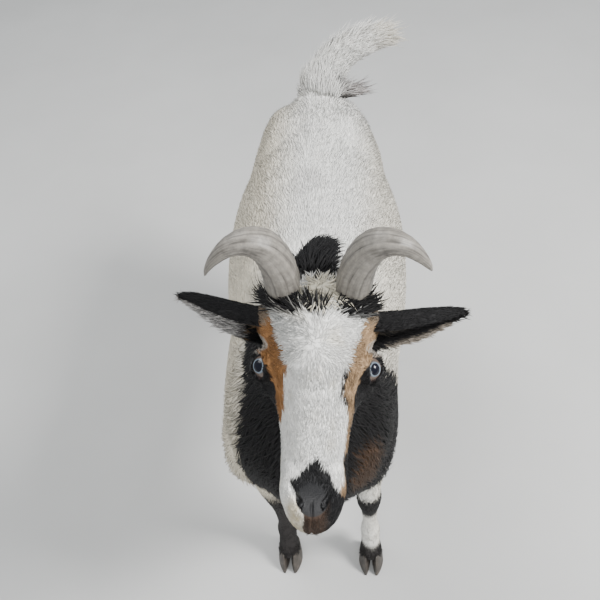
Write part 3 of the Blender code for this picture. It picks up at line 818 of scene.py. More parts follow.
def head_colours(points, place, paints):
    """The face: a white blaze, tan stripes by the eyes, black cheeks, a dark nose patch."""
    ahead, left, out = place.T
    coarse, fine = noise(points, 90, 4), noise(points, 320, 5)
    wobble = 0.0016 * coarse + 0.0014 * fine
    # Distance from the face's middle line, carried on down the side of the head
    around = np.abs(left) + 0.9 * np.clip(-0.03 - out, 0, None) + wobble
    on_right = left < 0
    inner, outer = (
        np.where(on_right, table(ahead, edges[-1]), table(ahead, edges[1]))
        for edges in (TAN_INNER, TAN_OUTER)
    )
    past_blaze = step_up(around, inner - 0.001, inner + 0.001)
    tan = np.where(on_right[:, None], paints["tan"], paints["pale_tan"])
    tan = tan * (1 + 0.22 * fine[:, None])
    inner_edge = within(np.abs(around - inner - 0.0008), 0.002, 0.001) * ~on_right
    inner_edge = inner_edge * step_up(ahead, 0.062, 0.07) * within(ahead, 0.092, 0.006)
    layers = [
        (0.5 * step_up(coarse, 0.2, 1.0), "cream"),
        (past_blaze, tan),
        (inner_edge * step_up(fine, -0.3, 0.2), "black"),
        (step_up(around, outer - 0.0012, outer + 0.0012) * past_blaze, "black"),
    ]
    # Pale hair above and behind each eye, the dark lids, and grey-brown hair outside the horns
    for side in (-1, 1):
        behind = reach_of(place, (EYE_PLACE + (-0.0135, 0.003, 0.002)) * (1, side, 1))
        pale = within(behind + wobble, 0.0095, 0.002) * step_up(fine, -0.9, -0.3)
        margin = within(lid_opening(points, side)[1], 0.0012, 0.0005)
        margin = margin * within(reach_of(place, EYE_PLACE * (1, side, 1)), 0.016, 0.002)
        layers += [(0.9 * pale, "pale_ring"), (margin, "black")]
    side_tuft = np.hypot((ahead - 0.018) / 0.016, (np.abs(left) - 0.047) / 0.01) + 0.2 * coarse
    # The black crest behind the poll, with white beside it by the left horn
    dark = within(bend_distance(place) + 0.5 * wobble, BEND_REACH, 0.0015)
    crest = step_up(-ahead + wobble, -0.003, 0.0) * within(np.abs(left), 0.06, 0.006)
    parting = within(np.abs(left - 0.0185) + wobble, 0.006, 0.0015) * step_up(-ahead, 0.002, 0.006)
    parting = parting * within(-ahead, 0.05, 0.006) * step_up(out, -0.03, -0.02)
    right_edge, left_edge = table(ahead, NOSE_RIGHT), table(ahead, NOSE_LEFT)
    nose = step_up(left + wobble, right_edge - 0.0008, right_edge + 0.0008)
    nose = nose * within(left + wobble, left_edge, 0.0008)
    nose = nose * step_up(ahead + 0.5 * wobble, 0.1325, 0.1345) * step_up(out, -0.05, -0.046)
    speck = within(np.hypot(ahead - 0.1375, left + 0.0105), 0.0042, 0.001) * step_up(fine, 0.0, 0.3)
    nose_and_speck = np.maximum(nose, speck)
    stain = step_up(ahead, 0.16, 0.172) * within(np.abs(left + 0.013), 0.007, 0.004)
    lip = step_up(ahead, 0.165, 0.17) * within(np.abs(left), 0.012, 0.004)
    chin = step_up(ahead, 0.14, 0.152) * within(out, -0.056, 0.002) * within(left, 0.016, 0.004)
    layers += [
        (0.85 * within(side_tuft, 1, 0.3), "grey_brown"),
        (dark * step_up(out, -0.02, -0.01), "black"),
        (poll_tuft(place, 0.01, 0.12), "cream"),
        (crest, "black"),
        (parting, "white"),
        (nose_and_speck, "nose"),
        (stain * (0.7 + 0.3 * fine) * (1 - nose), "stain"),
        (0.8 * lip * step_up(out, -0.052, -0.046) * nose, "lip"),
        (chin, "cream"),
        (within(out, -0.082, 0.006) * within(ahead, 0.142, 0.008), "black"),
    ]
    return painted(all_of(paints, "white", len(points)), paints, *layers)


def ear_colours(points, marks, on_left, paints):
    """Black ears: the right one with a white lower rim and mottling, the left one beige inside."""
    share, place, inner = marks.T
    fine = noise(points, 260, 6)
    black = all_of(paints, "black", len(points))
    rim = within(place + 0.18 * fine, -0.4 + 0.25 * share, 0.1) * step_up(share, 0.28, 0.42)
    mottle = within(np.abs(place + 0.05), 0.3, 0.1) * within(np.abs(share - 0.45), 0.16, 0.06)
    mottle = mottle * step_up(fine, -0.2, 0.4)
    strand = inner * within(share, 0.28, 0.06) * step_up(fine, 0.05, 0.3)
    right_layers = (np.maximum(rim, 0.8 * mottle * inner), "ear_pale"), (0.7 * strand, "pale_tan")
    stripe = inner * within(np.abs(place + 0.25), 0.3, 0.12) * within(share, 0.42, 0.1)
    line = within(np.abs(place + 0.1 - 0.5 * (share - 0.4)), 0.07, 0.04)
    line = line * inner * step_up(share, 0.3, 0.4)
    edge = within(place, -0.86, 0.06) * step_up(share, 0.22, 0.34) * within(share, 0.86, 0.05)
    left_layers = (0.75 * np.maximum(stripe, 0.8 * line), "beige"), (0.65 * edge, "beige")
    left, right = painted(black, paints, *left_layers), painted(black, paints, *right_layers)
    return np.where(on_left[:, None], left, right)


def coat_colours(points, ears, paints):
    """The markings anywhere. ears holds share, place, wall and side, with side 0 off the ears."""
    place = in_head(points)
    on_face = step_up(beyond(points, HEAD_EDGE), -0.004, 0.004)
    colours = body_colours(points, paints)
    colours += (head_colours(points, place, paints) - colours) * on_face[:, None]
    on_ear = ears[:, 3] != 0
    if on_ear.any():
        marks = ears[on_ear]
        colours[on_ear] = ear_colours(points[on_ear], marks[:, :3], marks[:, 3] > 0, paints)
    return np.clip(colours, 0.004, 1)


# Lie and length of the coat


def zones_of(points, ears):
    """Which part of the animal each point belongs to, as a place in ZONES."""
    x, y, z = points.T
    zone = np.full(len(points), TRUNK)
    zone[beyond(points, NECK_EDGE) > 0] = NECK
    zone[(z < 0.375) & (y < 0.045) & (np.abs(x - 0.004) > 0.03)] = FORELEGS
    zone[(z < 0.33) & (y > 0.34)] = HINDLEGS
    on_head_part = beyond(points, HEAD_EDGE) > 0
    zone[on_head_part] = np.where(in_head(points)[on_head_part, 0] > 0.036, FACE, CROWN)
    zone[beyond(points, TAIL_EDGE) > 0] = TAIL
    zone[ears[:, 3] != 0] = EARS
    return zone


def rows_of(*columns):
    """Columns of numbers, some of them constants, as rows."""
    return np.stack(np.broadcast_arrays(*columns), axis=1).astype(float)


def face_lie(place):
    """The face's hair: out from a whorl on the forehead, down the cheeks, outward at the poll."""
    ahead, left, out = place.T
    side = np.sign(left)
    whorl = unit(rows_of(0.6 * (ahead - 0.053), 1.1 * left + 0.004 * noise(place, 90, 8), 0))
    down_nose = unit(rows_of(1, -8.0 * left * step_up(np.abs(left), 0.012, 0.03), 0))
    lie = whorl + down_nose * step_up(ahead, 0.06, 0.085)[:, None] * 3
    eye = EYE_PLACE + 0.8 * EYE_RADIUS * unit(GAZE)
    from_eye = place - rows_of(eye[0], eye[1] * side, eye[2])
    at_eye = within(np.linalg.norm(from_eye, axis=1), 0.017, 0.005)
    cheek = rows_of(-0.3 + 0.9 * step_up(ahead, 0.1, 0.14), 0.15 * side, -1)
    on_side = step_up(-out, 0.026, 0.044) * within(ahead, 0.165, 0.01)
    lie = toward(lie, cheek, on_side)
    lie = unit(lie) + 1.6 * at_eye[:, None] * unit(from_eye)
    at_poll = within(np.hypot((ahead - 0.011) / 0.0105, (left - 0.003) / 0.0135), 1, 0.25)
    lie = toward(lie, rows_of(ahead - 0.008, left - 0.003, 0.004), at_poll)
    return toward(lie, rows_of(-1, 6 * left + 0.3, -0.2), step_up(-ahead, 0.014, 0.024))


def toward(lie, other, share):
    """Directions turned toward others by a share per point."""
    return unit(lie) * (1 - share[:, None]) + unit(other) * share[:, None]


def trunk_lie(x, y, z, normals):
    """From chest to rump along the back, and downward on flanks, chest, rump and thighs."""
    flank = within(normals[:, 2], 0.75, 0.25) * step_up(normals[:, 2], -0.9, -0.4)
    rump = step_up(y, 0.34, 0.49) * step_up(normals[:, 1], -0.15, 0.25)
    chest = step_up(-y, 0.03, 0.1)
    thigh = step_up(y, 0.27, 0.37) * within(z, 0.37, 0.1)
    ahead = 1 - 0.7 * rump - 0.8 * chest
    down = -0.42 * flank - 0.9 * rump - 0.9 * chest - 1.3 * thigh
    return rows_of(0.22 * np.tanh(x / 0.02), ahead, down)


def neck_lie(x, y, z, normals):
    """Down the neck, and backward along its crest and the withers."""
    back = step_up(normals[:, 1] + 0.8 * normals[:, 2], 0.3, 0.9)
    withers = within(z - 0.9 * y, 0.56, 0.06) * back
    ahead = 0.3 + 0.75 * back + 0.8 * withers
    return rows_of(0.25 * np.sign(x - 0.02), ahead, -0.95 + 0.55 * back)


def tail_lie(points):
    """Along the tail's curve."""
    path = smooth_rows(mm(TAIL_ROWS)[:, :3], 6)
    nearest = np.argmin(np.linalg.norm(points[:, None] - path[None], axis=2), axis=1)
    return unit(path[np.minimum(nearest + 1, len(path) - 1)] - path[np.maximum(nearest - 1, 0)])


def ear_lie(ears):
    """Toward the ear's tip, fanned out near its root."""
    tips = {side: np.array(EAR_TIP[side]) - EAR_ROOT * np.array([1, side, 1]) for side in (-1, 1)}
    run = np.where(ears[:, 3:] > 0, unit(tips[1] @ HEAD), unit(tips[-1] @ HEAD))
    return run - (0.3 * ears[:, 1] * (1 - ears[:, 0]))[:, None] * HEAD[0]


def coat_lie(points, normals, ears, zone):
    """Unit vectors along the coat, in the surface everywhere but on the tail."""
    x, _, z = points.T
    face, tail = (zone == FACE) | (zone == CROWN), zone == TAIL
    lie = rows_of(0 * x, 0.16 + 0.45 * step_up(z, 0.22, 0.34), -1)
    lie[face] = face_lie(in_head(points[face])) @ HEAD
    for part, its_lie in ((NECK, neck_lie), (TRUNK, trunk_lie)):
        rows = zone == part
        lie[rows] = its_lie(*points[rows].T, normals[rows])
    if tail.any():
        lie[tail] = tail_lie(points[tail])
    at_tuft = tail_tuft(points)[:, None]
    lie = lie * (1 - at_tuft) + at_tuft * (1.0, 0.1, 0.12)
    lie[zone == EARS] = ear_lie(ears[zone == EARS])
    lie = lie - normals * ((lie * normals).sum(axis=1) * ~tail)[:, None]
    lie = lie + 0.18 * normals * tail[:, None]
    lie[tail, 2] -= 0.3 * step_up(x[tail], 0.08, 0.13)
    return unit(lie)


def tail_tuft(points):
    """Share of the grey tuft beside the tail."""
    return within(reach_of(points, TAIL_TUFT), 0.013, 0.004)


# Each zone's locks: length and width in mm, lift at the root and droop at the tip in degrees, and
# how many grow on a square metre
COAT = np.array(
    (
        (8, 0.9, 18, -2, 560e3),  # face
        (8.8, 1.1, 19, 0, 420e3),  # crown
        (7.5, 0.9, 20, 0, 480e3),  # ears
        (24, 1.8, 15, 2, 140e3),  # neck
        (24, 1.8, 11, 2, 120e3),  # trunk
        (14, 1.5, 14, 1, 120e3),  # forelegs
        (14, 1.5, 14, 1, 120e3),  # hindlegs
        (37, 1.7, 13, 2, 420e3),  # tail
    )
)


def coat_style(points, normals, ears, zone):
    """Each root's length, width, lift and droop, in metres and radians."""
    _, y, z = points.T
    place = in_head(points)
    ahead, left, out = place.T
    length, width, lift, droop = COAT[zone, :4].T
    face, crown, tail = zone == FACE, zone == CROWN, zone == TAIL
    legs = (zone == FORELEGS) | (zone == HINDLEGS)
    muzzle = face * step_up(ahead, 0.12, 0.155)
    near_eye = face * within(eye_distance(points), 0.019, 0.004)
    length = length * (1 - 0.45 * muzzle) * (1 - 0.55 * near_eye)
    width = width * (1 - 0.25 * muzzle) * (1 - 0.3 * near_eye)
    # The tuft at the poll, the spikes behind it and the fringe in front of the horns
    poll = (crown | face) * poll_tuft(place, 0.0105, 0.15)
    spikes = crown * step_up(-ahead, 0.001, 0.008) * within(np.abs(left + 0.003), 0.013, 0.005)
    fringe = within(bend_distance(place), BEND_REACH, 0.0015) * step_up(out, -0.02, -0.01)
    fringe = (crown | face) * fringe
    at_horn = fringe * step_up(np.abs(left), 0.01, 0.016)
    # Neck crest, chest, belly and the backs of the legs
    crest = (zone == NECK) * step_up(normals[:, 1], 0.2, 0.7)
    chest = (zone == TRUNK) * step_up(-y, 0.02, 0.08) * step_up(-normals[:, 1], 0.2, 0.7)
    belly = (zone == TRUNK) * step_up(-normals[:, 2], 0.2, 0.7)
    low = legs * within(z, 0.18, 0.08)
    behind = step_up(normals[:, 1], 0.3, 0.8) * within(z, 0.16, 0.05) * step_up(z, 0.075, 0.09)
    cuff = legs * within(z, 0.045, 0.01)
    # Where the tail's hair parts from the rump's, and the tufts at its root
    parting = within(np.abs(beyond(points, TAIL_EDGE) - 0.002), 0.009, 0.006)
    parting = parting * ((zone == TRUNK) | tail) * within(reach_of(points, TAIL_SPOT), 0.055, 0.015)
    at_spot = within(reach_of(points, TAIL_SPOT), 0.012, 0.004)
    # Long pale hair inside the ears toward the rims
    inside = (zone == EARS) * ears[:, 2]
    changes = (
        # share, and what it adds to the length and width in mm and to the lift in degrees
        (near_eye, 0, 0, 8),
        (poll, 2, 0, 8),
        (spikes, 14, 0.3, 20),
        (fringe * (1 - poll), 8, 0, 12),
        (at_horn, 9, 0, 26),
        (crest, 8, 0, 4),
        (chest, 8, 0, 0),
        (belly, 8, 0, 0),
        (low, -6.5, -0.5, 0),
        (legs * step_up(z, 0.22, 0.34), 8, 0, 0),
        (legs * behind, 4, 0, 0),
        (cuff, 5, 0, 10),
        (tail * within(z, 0.562, 0.02), -16, 0, 0),
        (parting, 0, 0, 30),
        (inside * within(ears[:, 0], 0.55, 0.15), 3, 0, 0),
        (inside, 0, 0, 8),
    )
    for share, longer, wider, higher in changes:
        length, width, lift = length + longer * share, width + wider * share, lift + higher * share
    at_tuft = tail_tuft(points)
    length = length * (1 - 0.4 * at_spot) + 20 * at_tuft
    return length / 1000, width / 1000, np.radians(lift + 26 * at_tuft), np.radians(droop)


def bare_places(points, ears):
    """1 where no hair grows: in the eyes, on the nose and lips, under horns and hooves."""
    ahead, left, out = in_head(points).T
    bare = ((ahead - 0.1665) / 0.0135) ** 2 + (left / 0.0128) ** 2 < 1
    bare = bare & (out > -0.046)
    for side in (-1, 1):
        local, gap = lid_opening(points, side)
        near = np.linalg.norm(local, axis=1) < LID_REACH
        bare |= near & (gap < 0.0012) & (local[:, 2] > 0) & (np.abs(local[:, 0]) < 0.0136)
        for station in smooth_rows(horn_rows(side), 3)[:8]:
            bare |= reach_of(points, station[:3]) < 0.0135
    bare |= (np.abs(out - mouth_height(ahead)) < 0.0022) & (ahead > 0.132)
    bare |= points[:, 2] < coronet_height(points[:, 1], CORONET_HEIGHT + 0.001)
    bare |= (ears[:, 3] != 0) & (ears[:, 0] < 0.12)
    return bare.astype(float)


def unwrapped(points, ears, zone):
    """Each zone's own unwrap to the unit square: the angle round its axis, the way along it."""
    ahead, left, out = in_head(points).T
    x, y, z = points.T
    round_head, along_head = np.arctan2(left, out + 0.045), (ahead + 0.06) / 0.26
    flat = {
        FACE: (round_head, along_head),
        CROWN: (round_head, along_head),
        NECK: (np.arctan2(x - 0.02, -(y + 0.05) + 0.6 * (z - 0.58)), (z - 0.44) / 0.28),
        TRUNK: (np.arctan2(x - 0.003, z - 0.42), (y + 0.15) / 0.68),
        TAIL: (np.arctan2(y - 0.49, z - 0.6), (x + 0.03) / 0.17),
    }
    spots = np.zeros((len(points), 2))
    for part, (angle, along) in flat.items():
        rows = zone == part
        spots[rows] = np.stack([angle / (2 * math.pi) + 0.5, along], axis=1)[rows]
    # Left and right legs take half the width each
    side = np.where(x > 0, 1, -1)
    for part, feet, middle_y in ((FORELEGS, FORE_X, -0.025), (HINDLEGS, HIND_X, 0.455)):
        rows = zone == part
        middle_x = np.where(side > 0, feet[1], -feet[-1])
        turn = np.arctan2(x - middle_x, y - middle_y) / (2 * math.pi)
        spots[rows] = np.stack([0.5 + 0.25 * side + 0.48 * turn, z / 0.4], axis=1)[rows]
    rows = zone == EARS
    share, place, inner, ear_side = ears[rows].T
    spots[rows] = np.stack([0.37 + 0.25 * ear_side + 0.115 * place + 0.25 * inner, share], axis=1)
    return 0.01 + 0.98 * np.clip(spots, 0, 1)


def locks(roots, normals, lie, length, width, lift, droop, sway, stations=3):
    """Many tapering locks as one set of arrays.

    A lock starts a little under the skin. It turns from lift above the surface at its root to droop
    below it at its tip, and sways sideways with the square of the way along. Its section is a low
    triangle with a ridge outward, closed at the root and drawn to a point. Returns points, faces,
    each point's place across and along its lock, and the number of points in a lock.
    """
    t = np.linspace(0, 1, stations)
    bulge = np.interp(t, (0, 0.35, 0.7, 1), (0.62, 1.0, 0.72, 0))
    side = unit(np.cross(normals, lie))
    spot = roots - normals * np.minimum(ROOT_DEPTH, 0.05 * length)[:, None]
    columns = []
    for j in range(stations):
        angle = lift - (droop + lift) * t[j]
        if j:
            run = np.cos(angle)[:, None] * lie + np.sin(angle)[:, None] * normals
            spot = spot + run * (length * (t[j] - t[j - 1]))[:, None]
        place = spot + side * (sway * length * t[j] ** 2)[:, None]
        up = np.cos(angle)[:, None] * normals - np.sin(angle)[:, None] * lie
        half = side * (0.5 * width * bulge[j])[:, None]
        ridge = up * (LOCK_RIDGE * width * bulge[j])[:, None]
        columns.append(np.stack([place - half, place + half, place + ridge], axis=1))
    columns[-1] = place[:, None]
    points = np.concatenate(columns, axis=1)
    size = points.shape[1]
    faces = [(0, 2, 1)]
    for j in range(0, 3 * (stations - 2), 3):
        for i in range(3):
            a, b = j + i, j + (i + 1) % 3
            faces += [(a, b, b + 3), (a, b + 3, a + 3)]
    last = size - 4
    faces += [(last + i, last + (i + 1) % 3, size - 1) for i in range(3)]
    faces = (np.array(faces)[None] + size * np.arange(len(roots))[:, None, None]).reshape(-1, 3)
    across = np.append(np.tile([0.0, 1.0, 0.5], stations - 1), 0.5)
    along = np.append(np.repeat(t[:-1], 3), 1.0)
    across, along = np.tile(across, len(roots)), np.tile(along, len(roots))
    return points.reshape(-1, 3), faces, across, along, size


def hair_mesh(name, sample, shape, colours, luck, spread):
    """A mesh of locks in the given colours, each with its own spot on both UV maps."""
    roots, _, ears, zone = sample
    points, faces, across, along, size = shape
    patch = BAKE_PATCH * (np.stack([across, along], axis=1) - 0.5)
    luck = np.repeat(luck, size)
    maps = {
        BAKE_MAP: np.repeat(unwrapped(roots, ears, zone), size, axis=0) + patch,
        "Strand": np.stack([across + 7 * luck, along * 0.6 + spread * luck], axis=1),
    }
    return mesh_from(name, points, faces, colours, **maps)


def coat_piece(name, material, sample, rng, stations, paints):
    """One piece of locks on sampled roots: markings, a random tone, painted shade at the roots."""
    roots, normals, ears, zone = sample
    count = len(roots)
    lie = coat_lie(roots, normals, ears, zone)
    length, width, lift, droop = coat_style(roots, normals, ears, zone)
    drift = 0.16 * noise(roots, 45, 7) + 0.1 * rng.standard_normal(count)
    ahead, left, _ = in_head(roots).T
    whorls = sum(
        np.exp(-(((ahead - middle) ** 2 + left**2) / reach**2)) * (zone == part)
        for part, middle, reach in ((FACE, 0.053, 0.007), (CROWN, 0.008, 0.006))
    )
    drift = drift * np.where(zone == CROWN, 2.0, 1.0) + 1.3 * whorls * rng.standard_normal(count)
    side = np.cross(normals, lie)
    lie = unit(lie * np.cos(drift)[:, None] + side * np.sin(drift)[:, None])
    length = length * rng.uniform(0.72, 1.22, count)
    length = length * np.where(zone == TAIL, rng.uniform(0.5, 1.15, count), 1)
    width = width * rng.uniform(0.75, 1.25, count)
    lift = lift * rng.uniform(0.75, 1.25, count)
    sway = 0.16 * rng.standard_normal(count)
    shape = locks(roots, normals, lie, length, width, lift, droop, sway, stations)
    luck = rng.uniform(0, 1, count)
    _, _, _, along, size = shape
    colours = coat_colours(roots, ears, paints) * (0.92 + 0.14 * luck)[:, None]
    # Painted shade: each lock's colour darkens toward its root, for the shadow among the locks
    depth = ROOT_PAINTED_SHADE + (1 - ROOT_PAINTED_SHADE) * step_up(along, 0.0, 0.4)
    colours = np.repeat(colours, size, axis=0) * depth[:, None]
    add_piece(name, hair_mesh(name, sample, shape, colours, luck, 5), material, "coat")


# Materials


def set_socket(tree, socket, value):
    """Links a node's output to a socket, or sets the socket's own value."""
    if isinstance(value, bpy.types.NodeSocket):
        tree.links.new(value, socket)
    else:
        socket.default_value = value


def add_node(tree, kind, inputs, **settings):
    """A shader node with its own settings and its input sockets' values, by name or number."""
    made = tree.nodes.new(kind)
    for name, value in settings.items():
        setattr(made, name, value)
    for name, value in inputs.items():
        set_socket(tree, made.inputs[name], value)
    return made


def ramp(tree, factor, *stops):
    """A colour ramp from (position, grey or colour) stops."""
    made = add_node(tree, "ShaderNodeValToRGB", {"Fac": factor})
    ends = made.color_ramp.elements
    while len(ends) < len(stops):
        ends.new(0.5)
    for end, (position, value) in zip(ends, stops):
        end.position = position
        end.color = (*value, 1) if isinstance(value, tuple) else (value, value, value, 1)
    return made.outputs["Color"]


def mixed(tree, mode, factor, first, second):
    """Two colours mixed in the given mode."""
    inputs = {0: factor, 6: first, 7: second}
    return add_node(tree, "ShaderNodeMix", inputs, data_type="RGBA", blend_type=mode).outputs[2]


def multiplied(tree, factor, colour, pattern, low, high):
    """A colour darkened by a pattern: low and high are (pattern's value, grey)."""
    return mixed(tree, "MULTIPLY", factor, colour, ramp(tree, pattern, low, high))


def new_material(name, **values):
    """A material's tree and shader, with constants set on the Principled shader's own sockets."""
    material = bpy.data.materials.new(name)
    material.use_nodes = True
    tree = material.node_tree
    shader = tree.nodes["Principled BSDF"]
    for socket, value in values.items():
        shader.inputs[socket.replace("_", " ")].default_value = value
    return material, tree, shader


def finish_material(tree, shader, colour, height=None, strength=0.0, distance=0.0):
    """Gives the shader its colour and, from a height, its bump."""
    tree.links.new(colour, shader.inputs["Base Color"])
    if height is not None:
        inputs = {"Height": height, "Strength": strength, "Distance": distance}
        normal = add_node(tree, "ShaderNodeBump", inputs).outputs["Normal"]
        tree.links.new(normal, shader.inputs["Normal"])


def stretched_noise(tree, place, stretch, **values):
    """Noise at a place that is stretched first."""
    moved = add_node(tree, "ShaderNodeMapping", {"Vector": place, "Scale": stretch})
    values["Vector"] = moved.outputs["Vector"]
    return add_node(tree, "ShaderNodeTexNoise", values).outputs["Fac"]


def object_place(tree):
    return add_node(tree, "ShaderNodeTexCoord", {}).outputs["Object"]


def object_noise(tree, scale, detail=4.0, rough=0.55, stretch=(1, 1, 1)):
    values = {"Scale": scale, "Detail": detail, "Roughness": rough}
    return stretched_noise(tree, object_place(tree), stretch, **values)


def map_noise(tree, map_name, stretch, detail=3.0):
    place = add_node(tree, "ShaderNodeUVMap", {}, uv_map=map_name).outputs["UV"]
    return stretched_noise(tree, place, stretch, Scale=1.0, Detail=detail)


def attribute(tree, name, output="Color"):
    return add_node(tree, "ShaderNodeAttribute", {}, attribute_name=name).outputs[output]


def skin_material():
    """Short undercoat in the markings' colours. Bare skin is finely pebbled and a little moist."""
    material, tree, shader = new_material("goat_skin", Specular_IOR_Level=0.35)
    hair = object_noise(tree, 900.0, 3.0, 0.6, (1.0, 0.35, 1.0))
    colour = multiplied(tree, 0.4, attribute(tree, "Marking"), hair, (0.3, 0.6), (0.7, 1.0))
    inputs = {"Vector": object_place(tree), "Scale": 950.0}
    pebble = add_node(tree, "ShaderNodeTexVoronoi", inputs).outputs["Distance"]
    bare = attribute(tree, "Bare", "Fac")
    rough = add_node(tree, "ShaderNodeMapRange", {"Value": bare, "To Min": 0.85, "To Max": 0.42})
    tree.links.new(rough.outputs[0], shader.inputs["Roughness"])
    finish_material(tree, shader, colour, mixed(tree, "MIX", bare, hair, pebble), 0.35, 0.0006)
    return material


def coat_material():
    """Hair in the markings' colours, streaked and grooved along each lock."""
    material, tree, shader = new_material("goat_coat", Roughness=0.66, Specular_IOR_Level=0.22)
    strands = map_noise(tree, "Strand", (9.0, 1.2, 1.0))
    patches = object_noise(tree, 45.0)
    colour = multiplied(tree, 0.8, attribute(tree, "Marking"), strands, (0.3, 0.62), (0.66, 1.0))
    colour = multiplied(tree, 0.5, colour, patches, (0.3, 0.78), (0.65, 1.0))
    finish_material(tree, shader, colour, strands, 0.5, 0.0004)
    return material


def eye_material():
    """The eyeball's painted iris and pupil under a clear wet coat."""
    values = {"Roughness": 0.25, "Specular_IOR_Level": 0.1, "Coat_Weight": 0.35}
    material, tree, shader = new_material("goat_eye", Coat_Roughness=0.012, **values)
    veins = object_noise(tree, 700.0, 4.0)
    colour = multiplied(tree, 0.35, attribute(tree, "Marking"), veins, (0.35, 0.6), (0.65, 1.0))
    finish_material(tree, shader, colour)
    return material


def horn_material(paints):
    """Grey-beige horn streaked lengthwise, darker at its base, painted shade in its furrows."""
    material, tree, shader = new_material("goat_horn", Roughness=0.48, Specular_IOR_Level=0.45)
    streaks = map_noise(tree, "Grain", (34.0, 5.0, 1.0), 5.0)
    mottle = object_noise(tree, 260.0, 5.0, 0.7)
    light = paints["horn_light"]
    lightest = tuple(1.25 * c for c in light)
    colour = ramp(tree, streaks, (0.3, paints["horn_dark"]), (0.52, light), (0.75, lightest))
    colour = multiplied(tree, 0.55, colour, mottle, (0.35, 0.45), (0.6, 1.0))
    colour = mixed(tree, "MULTIPLY", 1.0, colour, attribute(tree, "Marking"))
    finish_material(tree, shader, colour, mixed(tree, "MIX", 0.5, streaks, mottle), 0.45, 0.0006)
    return material


def hoof_material(paints):
    """Dark horn with fine vertical tubules and level growth bands, dusty in places."""
    material, tree, shader = new_material("goat_hoof", Roughness=0.5, Specular_IOR_Level=0.4)
    tubules = map_noise(tree, "Grain", (60.0, 2.5, 1.0), 4.0)
    dark, light = (tuple(share * c for c in paints["hoof"]) for share in (0.55, 1.6))
    dust = ramp(tree, object_noise(tree, 120.0, 5.0), (0.52, 0.0), (0.75, 0.35))
    colour = ramp(tree, tubules, (0.3, dark), (0.7, light))
    colour = mixed(tree, "MIX", dust, colour, (0.2, 0.17, 0.13, 1))
    finish_material(tree, shader, colour, tubules, 0.4, 0.0005)
    return material


def floor_material():
    """Plain pale floor with the faintest unevenness."""
    material, tree, shader = new_material("stage_floor", Roughness=0.8, Specular_IOR_Level=0.2)
    light, dark = (0.53, 0.525, 0.51), (0.5, 0.495, 0.48)
    finish_material(tree, shader, ramp(tree, object_noise(tree, 3.0), (0.35, dark), (0.65, light)))
    return material


# Pieces


def make_skin(paints):
    """The whole skin in one mesh: the field's surface, refined on the head, and two ear shells."""
    points, quads = surface(skin_field, *SKIN_BOX, SKIN_STEP)
    points, faces = refine(settle(skin_field, points, 2), quads)
    ears = np.zeros((len(points), 4))
    for side in (-1, 1):
        grid, marks = ear_grid(side)
        shell, lids = capped(grid)
        marks = np.vstack([marks.reshape(-1, 3), [0, 0, 0], [1, 0, 0]])
        faces = np.vstack([faces, lids + len(points)])
        points = np.vstack([points, shell])
        ears = np.vstack([ears, np.column_stack([marks, np.full(len(shell), side)])])
    bare = bare_places(points, ears) * (ears[:, 3] == 0)
    colours = bare_colours(points, bare, coat_colours(points, ears, paints), paints)
    mesh = mesh_from("skin", points, facing_out(points, faces), colours)
    add_attribute(mesh, "EarPlace", "FLOAT_COLOR", "color", ears)
    add_attribute(mesh, "Bare", "FLOAT", "value", bare)
    add_piece("skin", mesh, skin_material(), "coat", *FLESH_NODES)


def bare_colours(points, bare, colours, paints):
    """Bare skin about the eyes, nose and mouth in its own colours."""
    place = in_head(points)
    skin = all_of(paints, "nose", len(points))
    for side in (-1, 1):
        local = lid_opening(points, side)[0]
        near = np.linalg.norm(local, axis=1) < LID_REACH
        pink = near * within(-local[:, 0], -0.0085, 0.0015) * (local[:, 2] > 0)
        skin = painted(skin, paints, (0.6 * pink, "lid_pink"))
    near_horn = (place[:, 0] < 0.03) & (place[:, 2] > -0.03)
    chosen = (bare > 0) & (points[:, 2] > 0.2) & ~near_horn
    return np.where(chosen[:, None], skin, colours)


def skin_sample():
    """The skin's corners with normals and ear marks, and each face's zone, place and hairy area."""
    if "skin" not in bpy.data.objects:
        raise RuntimeError("build the skin before the coat")
    mesh = bpy.data.objects["skin"].data
    points = read_numbers(mesh.vertices, "co", 3).astype(float) + MIDDLE
    normals = read_numbers(mesh.vertex_normals, "vector", 3).astype(float)
    faces = read_numbers(mesh.loops, "vertex_index", 1, np.int32).reshape(-1, 3)
    ears = read_numbers(mesh.attributes["EarPlace"].data, "color", 4).astype(float)
    corners = points[faces]
    middle, middle_ears = corners.mean(axis=1), ears[faces].mean(axis=1)
    cross = np.cross(corners[:, 1] - corners[:, 0], corners[:, 2] - corners[:, 0])
    area = np.linalg.norm(cross, axis=1) / 2 * (bare_places(middle, middle_ears) < 0.5)
    zone = zones_of(middle, middle_ears)
    return {
        "corners": (points, normals, ears),
        "faces": faces,
        "area": area,
        "zone": zone,
        "middle": middle,
    }


def draw_roots(skin, weight, rng, most):
    """Roots spread over the faces, each face as likely as its weight."""
    count = int(min(weight.sum(), most))
    picked = rng.choice(len(weight), count, p=weight / weight.sum())
    share = rng.dirichlet((1, 1, 1), count)[..., None]
    corner = skin["faces"][picked]
    roots, normals, ears = ((values[corner] * share).sum(axis=1) for values in skin["corners"])
    return roots, unit(normals), ears, skin["zone"][picked]


def coat_density(skin):
    """Locks per square metre on each face: most on the muzzle, round the eyes and on the shins."""
    zone, middle = skin["zone"], skin["middle"]
    face = zone == FACE
    density = COAT[zone, 4] * (1 + 0.6 * face * step_up(in_head(middle)[:, 0], 0.115, 0.15))
    legs = (zone == FORELEGS) | (zone == HINDLEGS)
    density = density * (1 + 1.3 * within(middle[:, 2], 0.16, 0.08) * legs)
    return density * (1 + 0.9 * face * within(eye_distance(middle), 0.019, 0.004))


MUZZLE_START = 0.105
TRUNK_SPLIT = (0.006, 0.19)  # the trunk's coat is in four pieces, parted at this x and y
LONG_HAIR = ("crown", "neck", "tail")
# Stations along each lock and the most locks: no piece passes 200,000 triangles
LONG_LOCKS, SHORT_LOCKS = (4, 12000), (3, 19500)


